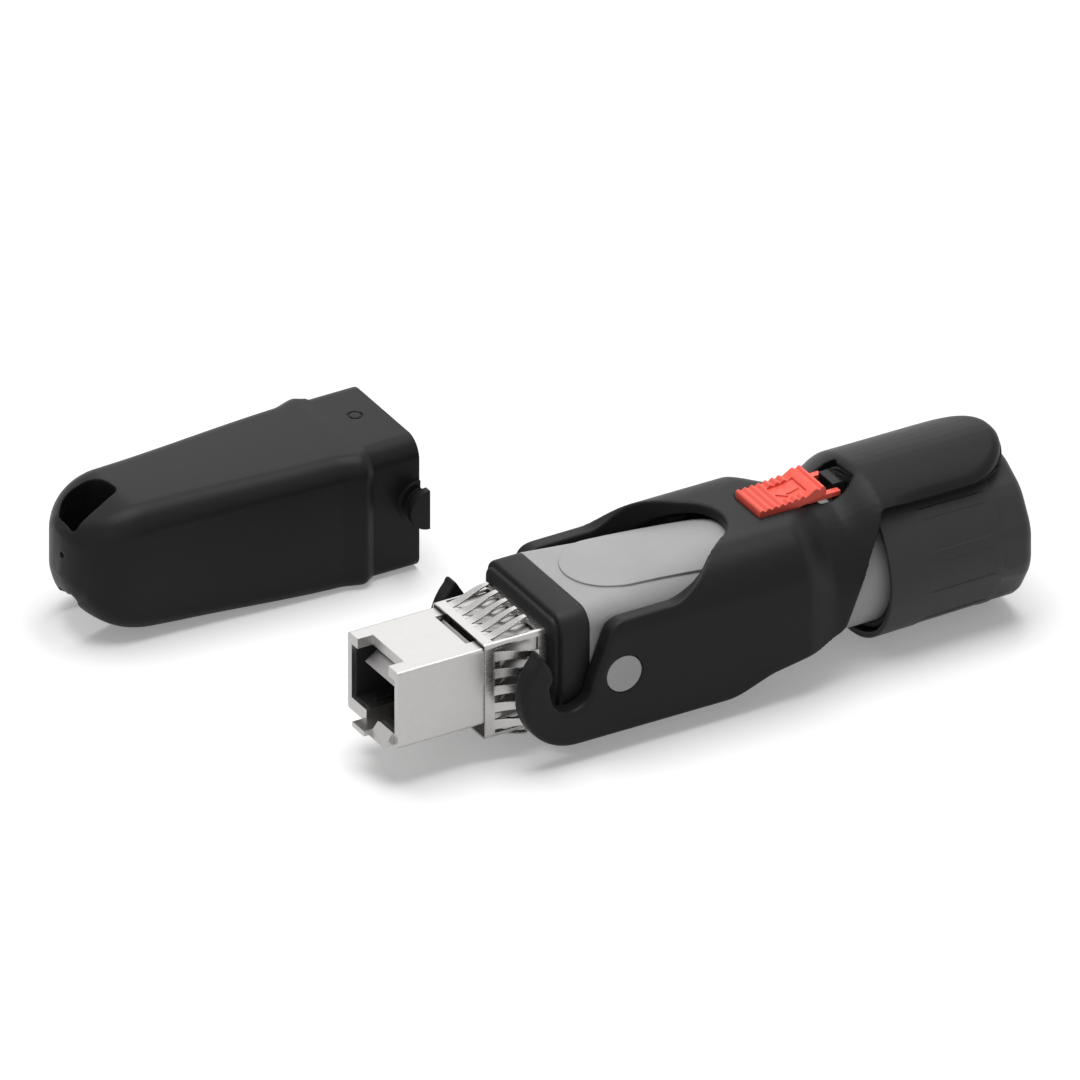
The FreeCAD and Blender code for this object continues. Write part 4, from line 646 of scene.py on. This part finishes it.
# Protective cap. Black polypropylene, moulded: a collar with half-round studs for the hooks, a body
# that flares behind the seam and tapers to a nose, and an eye through the nose for a lanyard. Its
# sections are rows of depth from the mouth, half width, underside and upper corner.
CAP_MOUTH, CAP_Y, CAP_LENGTH, CAP_COLLAR = 33.5, 54.95, 53.1, 7.75
CAP_HALF, CAP_TOP, CAP_LOW, COLLAR_CORNER, COLLAR_UNDER = 10.0, 8.4, -12.25, 3.0, 1.8
NOSE_START, NOSE_LOW, NOSE_RISE, NOSE_RUN, NOSE_SHARE = 41.5, -11.2, 8.6, 11.7, 0.985
BROW_START, BROW_DROP, BROW_POWER = 43.6, 3.4, 1.5
TIP_SIDE, TIP_RUN, TIP_POWER, TIP_STEP, STEP_RISE = 7.9, 7.95, 2.2, 1.6, 0.3
TIP_ROUND, TIP_DROP, TIP_RISE, CORNER_SHARE = 1.0, 1.0, 0.8, 0.75
UNDER_CORNER, UNDER_START, UNDER_GROWTH = 2.2, 38, 0.1
CAP_SECTIONS = [(CAP_COLLAR, CAP_HALF + 0.6, -12.3, 3.0), (9.2, CAP_HALF + 1.4, -12.39, 3.0),
                (12.6, CAP_HALF + 0.45, -12.39, 3.2), (NOSE_START, CAP_HALF - 1.35, NOSE_LOW, 3.6),
                (CAP_LENGTH, CAP_HALF - 2.05, NOSE_LOW, 3.6)]
STUD_Z, STUD_GAP, STUD_NEAR, STUD_FAR = -1.25, 0.02, 3.1, 2.35
ROOM_HALF, ROOM_LOW, ROOM_HIGH, ROOM_DEPTH = 8.8, -10.75, 6.9, 11.5
CORE_HALF, CORE_LOW, CORE_HIGH, CORE_DEPTH = 7.35, -8.1, 4.8, 27.5
MARK_X, MARK_Y, MARK_OUTER, MARK_INNER, MARK_DEPTH = 29.3, 55.8, 1.15, 0.8, 0.16
DIMPLE_Y, DIMPLE_Z, DIMPLE_RADIUS, DIMPLE_DEPTH = 53.75, 0.8, 0.45, 0.35


def cap_ring(depth):
    """The cap's section at a depth from its mouth."""
    if depth <= CAP_COLLAR:
        return rounded_ring(CAP_HALF, CAP_LOW, CAP_TOP, COLLAR_CORNER, CAP_Y, COLLAR_UNDER)
    half, low, corner = between(CAP_SECTIONS, depth)
    high = CAP_TOP
    if depth > BROW_START:
        high -= BROW_DROP * ((depth - BROW_START) / (CAP_LENGTH - BROW_START)) ** BROW_POWER
    if depth > NOSE_START:
        share = min((depth - NOSE_START) / NOSE_RUN, NOSE_SHARE)
        low = NOSE_LOW + NOSE_RISE * (1 - math.sqrt(1 - share ** 2))
    last = CAP_LENGTH - depth
    if last < TIP_STEP:
        low += STEP_RISE
    if last < TIP_SIDE:
        half *= math.sqrt(max(1 - ((TIP_SIDE - last) / TIP_RUN) ** TIP_POWER, 0.01))
    if last < TIP_ROUND:
        high -= TIP_DROP * (TIP_ROUND - last) ** 2
        low += TIP_RISE * (TIP_ROUND - last) ** 2
    widest = half * CORNER_SHARE
    below = min(UNDER_CORNER + max(depth - UNDER_START, 0) * UNDER_GROWTH, widest)
    return rounded_ring(half, low, high, min(corner, widest), CAP_Y, below)


cap_black = moulded("cap_polypropylene", (0.010, 0.010, 0.0105), rough=0.42, grain=3200, depth=0.00003,
                    gloss=0.14, edge=0.0004)
depths = [0, CAP_COLLAR, CAP_COLLAR + 0.001] + [CAP_COLLAR + 0.4 * i for i in range(1, 17)]
depths += [15 + 2.2 * i for i in range(12)] + [NOSE_START + 0.5 * i for i in range(20)]
depths += [51.49, 51.51, 51.7, 51.9, 52.1, 52.3, 52.5, 52.7, 52.85, 52.95, 53.03, 53.08, CAP_LENGTH]
cap = skinned("cap_moulding", [(CAP_MOUTH - depth, cap_ring(depth)) for depth in depths])
stud_x = CAP_MOUTH - STUD_GAP
for side, reach in ((-1, STUD_NEAR), (1, STUD_FAR)):
    for radius, start, end in ((3.4, -1.0, 0.35), (2.3, -1.0, reach - 0.8), (3.1, reach - 1.2, reach)):
        half_round = [(stud_x, STUD_Z - radius), (stud_x, STUD_Z + radius)]
        half_round += arc(stud_x, STUD_Z, radius, 95, 265, 24)
        span = sorted((CAP_Y + side * (CAP_HALF + start), CAP_Y + side * (CAP_HALF + end)))
        cap = worked(cap, plate("stud", "Y", half_round, *span), "UNION")
wide_ring = rounded_ring(ROOM_HALF, ROOM_LOW, ROOM_HIGH, 1.5, CAP_Y)
wide = skinned("cap_room", [(CAP_MOUTH + 1, wide_ring), (CAP_MOUTH - ROOM_DEPTH, wide_ring)])
cap = worked(cap, wide, "DIFFERENCE")
deep_ring = rounded_ring(CORE_HALF, CORE_LOW, CORE_HIGH, 1.0, CAP_Y)
deep = skinned("cap_core", [(CAP_MOUTH - ROOM_DEPTH + 0.5, deep_ring), (CAP_MOUTH - CORE_DEPTH, deep_ring)])
cap = worked(cap, deep, "DIFFERENCE")
eye = eased([(-9.9, 54.2, 1.6), (-10.6, 59.3, 3.0), (-16.2, 59.4, 4.2), (-18.75, 56.2, 2.4),
             (-18.75, 51.9, 0.7), (-13.8, 52.9, 4.0)])
cap = worked(cap, plate("lanyard_eye", "Z", eye, -16, 12), "DIFFERENCE")
mark = plate("ring_groove", "Z", circle(MARK_X, MARK_Y, MARK_OUTER, 48), CAP_TOP - MARK_DEPTH, CAP_TOP + 1)
mark_core = plate("ring_core", "Z", circle(MARK_X, MARK_Y, MARK_INNER, 48), CAP_TOP - 1, CAP_TOP + 2)
cap = worked(cap, worked(mark, mark_core, "DIFFERENCE"), "DIFFERENCE")
nose = CAP_MOUTH - CAP_LENGTH
dimple_ring = circle(DIMPLE_Y, DIMPLE_Z, DIMPLE_RADIUS, 24)
dimple = plate("nose_dimple", "X", dimple_ring, nose - 1, nose + DIMPLE_DEPTH)
cap = worked(cap, dimple, "DIFFERENCE")
finished(cap, cap_black, "plug", "protective_cap", crease=40)

# Inner plastic. Black moulded polycarbonate: insert, termination block, wire guide and clamp cage,
# pushed into the shell and the body from behind.
inner_black = moulded("inner_polycarbonate", (0.018, 0.018, 0.018), rough=0.5, grain=3000, depth=0.00003,
                      gloss=0.4)
dress(inner_black, "contact_insert", "termination_block", "wire_guide", "clamp_cage")

# Jack shell. Zinc die casting, nickel plated: a satin skin with faint casting ripples, pressed
# into the pocket in the body's front.
RIPPLE_DETAIL, RIPPLE_STRENGTH, SATIN_SPREAD, RIPPLE_TONE = 4, 0.4, 0.07, 0.95


def plated(name, colour, rough, ripple, depth, stretch=(1, 1, 1), edge=0.00012):
    """Plated metal: satin, with faint ripples that can run along one direction."""
    material = bpy.data.materials.new(name)
    material.use_nodes = True
    tree = material.node_tree
    shader = tree.nodes["Principled BSDF"]
    shader.inputs["Metallic"].default_value = 1.0
    place = tree.nodes.new("ShaderNodeTexCoord")
    turned = tree.nodes.new("ShaderNodeMapping")
    turned.inputs["Scale"].default_value = stretch
    tree.links.new(place.outputs["Object"], turned.inputs["Vector"])
    waves = tree.nodes.new("ShaderNodeTexNoise")
    waves.inputs["Scale"].default_value = ripple
    waves.inputs["Detail"].default_value = RIPPLE_DETAIL
    tree.links.new(turned.outputs["Vector"], waves.inputs["Vector"])
    tone = tree.nodes.new("ShaderNodeValToRGB")
    tone.color_ramp.elements[0].position = CLOUD_LOW
    tone.color_ramp.elements[1].position = CLOUD_HIGH
    tone.color_ramp.elements[0].color = (*[c * RIPPLE_TONE for c in colour], 1)
    tone.color_ramp.elements[1].color = (*colour, 1)
    tree.links.new(waves.outputs["Fac"], tone.inputs["Fac"])
    tree.links.new(tone.outputs["Color"], shader.inputs["Base Color"])
    satin = tree.nodes.new("ShaderNodeMapRange")
    satin.inputs["To Min"].default_value = rough - SATIN_SPREAD
    satin.inputs["To Max"].default_value = rough + SATIN_SPREAD
    tree.links.new(waves.outputs["Fac"], satin.inputs["Value"])
    tree.links.new(satin.outputs["Result"], shader.inputs["Roughness"])
    soft_edge = tree.nodes.new("ShaderNodeBevel")
    soft_edge.samples = EDGE_SAMPLES
    soft_edge.inputs["Radius"].default_value = edge
    bump = tree.nodes.new("ShaderNodeBump")
    bump.inputs["Strength"].default_value = RIPPLE_STRENGTH
    bump.inputs["Distance"].default_value = depth
    tree.links.new(waves.outputs["Fac"], bump.inputs["Height"])
    tree.links.new(soft_edge.outputs["Normal"], bump.inputs["Normal"])
    tree.links.new(bump.outputs["Normal"], shader.inputs["Normal"])
    return material


cast_nickel = plated("cast_nickel", (0.47, 0.46, 0.45), rough=0.32, ripple=700, depth=0.00002)
dress(cast_nickel, "front_shell")

# Spring collar. Stainless sheet, stamped and bent, it grips the shell and touches the panel with
# its fingers, which curve outward between strips that bow inward. Finger sizes are along x, in
# rise from the sheet and as shares of the pitch.
COLLAR_FRONT, COLLAR_BACK, COLLAR_HALF, COLLAR_TOP, COLLAR_LOW = 14.0, 23.85, 7.4, 6.76, -8.55
SHEET, COLLAR_BEND, COLLAR_RIM, FINGERS = 0.3, 0.7, 0.8, 5
OPENING_FRONT, OPENING_BACK, FINGER_FOOT, FINGER_RUN, FINGER_RISE = 15.6, 22.6, 15.4, 6.3, 1.85
FINGER_STEPS, FINGER_WIDE, FINGER_TAPER, FINGER_SLOPE = 12, 0.29, 0.14, 0.35
BOW_STEPS, BOW_RUN, BOW_DEPTH, BOW_LIFT, BOW_WIDE, BOW_WAIST = 16, 7.4, 0.5, 0.45, 0.155, 0.03


def strip(form, lane, run, face):
    """A strip of sheet in a collar's face, along a lane, through (x, rise, half width)."""
    rings = []
    for x, rise, half in run:
        rings.append([form.verts.new(face(x, lane + side * half, rise - depth))
                      for side, depth in ((-1, 0), (1, 0), (1, SHEET * 0.8), (-1, SHEET * 0.8))])
    for ring, after in zip(rings, rings[1:]):
        joined(form, ring, after)
    form.faces.new(rings[0])
    form.faces.new(rings[-1])


def finger(pitch):
    """A raised finger that narrows to a bent tip."""
    run = []
    for i in range(FINGER_STEPS + 1):
        part = i / FINGER_STEPS
        bend = FINGER_SLOPE * part + (1 - FINGER_SLOPE) * math.sin(part * math.pi / 2) ** 2
        half = (FINGER_WIDE - FINGER_TAPER * part) * pitch
        run.append((FINGER_FOOT + FINGER_RUN * part, FINGER_RISE * bend, half))
    return run + [(OPENING_FRONT + 6.4, 1.55, 0.14 * pitch), (OPENING_FRONT + 6.5, 1.2, 0.13 * pitch)]


def bowed(pitch):
    """A strip that bows inward and comes back at its rear."""
    run = []
    for i in range(BOW_STEPS + 1):
        wave = math.sin(math.pi * i / BOW_STEPS)
        rise = -BOW_DEPTH * wave ** 2 + BOW_LIFT * math.sin(math.pi * max(i - 7, 0) / 9) ** 2
        run.append((FINGER_FOOT + BOW_RUN * i / BOW_STEPS, rise, (BOW_WIDE - BOW_WAIST * wave) * pitch))
    return run


spring_sheet = plated("spring_sheet", (0.46, 0.45, 0.44), rough=0.26, ripple=500, depth=0.00001,
                      stretch=(1, 6, 6), edge=0.00006)
collar_ring = rounded_ring(COLLAR_HALF, COLLAR_LOW, COLLAR_TOP, COLLAR_BEND)
collar = skinned("finger_collar", [(COLLAR_FRONT, collar_ring), (COLLAR_BACK, collar_ring)])
inside = rectangle(-COLLAR_HALF + SHEET, COLLAR_LOW + SHEET, COLLAR_HALF - SHEET, COLLAR_TOP - SHEET)
collar = worked(collar, plate("collar_way", "X", inside, 10, 26), "DIFFERENCE")
wide, low, high = COLLAR_HALF - COLLAR_RIM, COLLAR_LOW + COLLAR_RIM, COLLAR_TOP - COLLAR_RIM
upper = rectangle(OPENING_FRONT, -wide, OPENING_BACK, wide)
collar = worked(collar, plate("upper_way", "Z", upper, -12, 12), "DIFFERENCE")
beside = rectangle(OPENING_FRONT, low, OPENING_BACK, high)
collar = worked(collar, plate("side_way", "Y", beside, -12, 12), "DIFFERENCE")
form = bmesh.new()
form.from_mesh(collar.data)
bpy.data.objects.remove(collar)
span, middle = (high - low) / 2, (high + low) / 2
faces = [(wide, 0, lambda x, across, rise: (x, across, COLLAR_TOP + rise)),
         (wide, 0, lambda x, across, rise: (x, across, COLLAR_LOW - rise)),
         (span, middle, lambda x, across, rise: (x, COLLAR_HALF + rise, across)),
         (span, middle, lambda x, across, rise: (x, -COLLAR_HALF - rise, across))]
for half, centre, face in faces:
    pitch = 2 * half / FINGERS
    for k in range(FINGERS):
        lane = centre - half + pitch * (k + 0.5)
        strip(form, lane, finger(pitch), face)
        if k < FINGERS - 1:
            strip(form, lane + pitch / 2, bowed(pitch), face)
finished(solid("finger_collar", form), spring_sheet, "plug", "spring_collar", crease=30)

# Shield leaf, ferrule and washer. Thin plated steel: the leaf is stamped and bent, the ferrule and
# the washer are turned, and all three are laid in as the plug is put together.
dull_sheet = plated("dull_sheet", (0.36, 0.35, 0.35), rough=0.38, ripple=500, depth=0.00001,
                    stretch=(1, 6, 6), edge=0.00004)
dress(dull_sheet, "shield_leaf", "shield_ferrule", "thrust_washer")

# Mouth shade sheets. Painted shade: a thin skin of the black inner plastic, in two halves over the sides and
# the floor of the jack's mouth ahead of the insert, that leaves the latch notch open and darkens the mouth as
# shade would.
MOUTH_HALF, MOUTH_FLOOR, MOUTH_CEILING, LATCH_HALF = 6.05, -4.15, 4.5, 1.95
SHADE_SKIN, SHADE_SKIN_FRONT, SHADE_SKIN_BACK = 0.07, 0.7, 9.7
for side in (-1, 1):
    inside = side * (MOUTH_HALF - SHADE_SKIN)
    profile = [(side * MOUTH_HALF, MOUTH_FLOOR), (side * MOUTH_HALF, MOUTH_CEILING), (inside, MOUTH_CEILING),
               (inside, MOUTH_FLOOR + SHADE_SKIN), (side * LATCH_HALF, MOUTH_FLOOR + SHADE_SKIN),
               (side * LATCH_HALF, MOUTH_FLOOR)]
    # Each half is a thin black sheet of painted shade laid inside the mouth, not a part of the plug.
    shade_sheet = plate("mouth_shade_sheet", "X", profile[::side], SHADE_SKIN_FRONT, SHADE_SKIN_BACK)
    finished(shade_sheet, inner_black, "plug", crease=30)

# Contacts. Phosphor bronze springs and blades with a flash of gold, stamped and pressed into the
# insert and the termination block.
CONTACTS = range(1, 9)
gold_flash = plated("gold_flash", (0.90, 0.66, 0.30), rough=0.25, ripple=900, depth=0.00001, edge=0.00003)
dress(gold_flash, *[f"contact_spring_{i}" for i in CONTACTS], *[f"wire_blade_{i}" for i in CONTACTS])
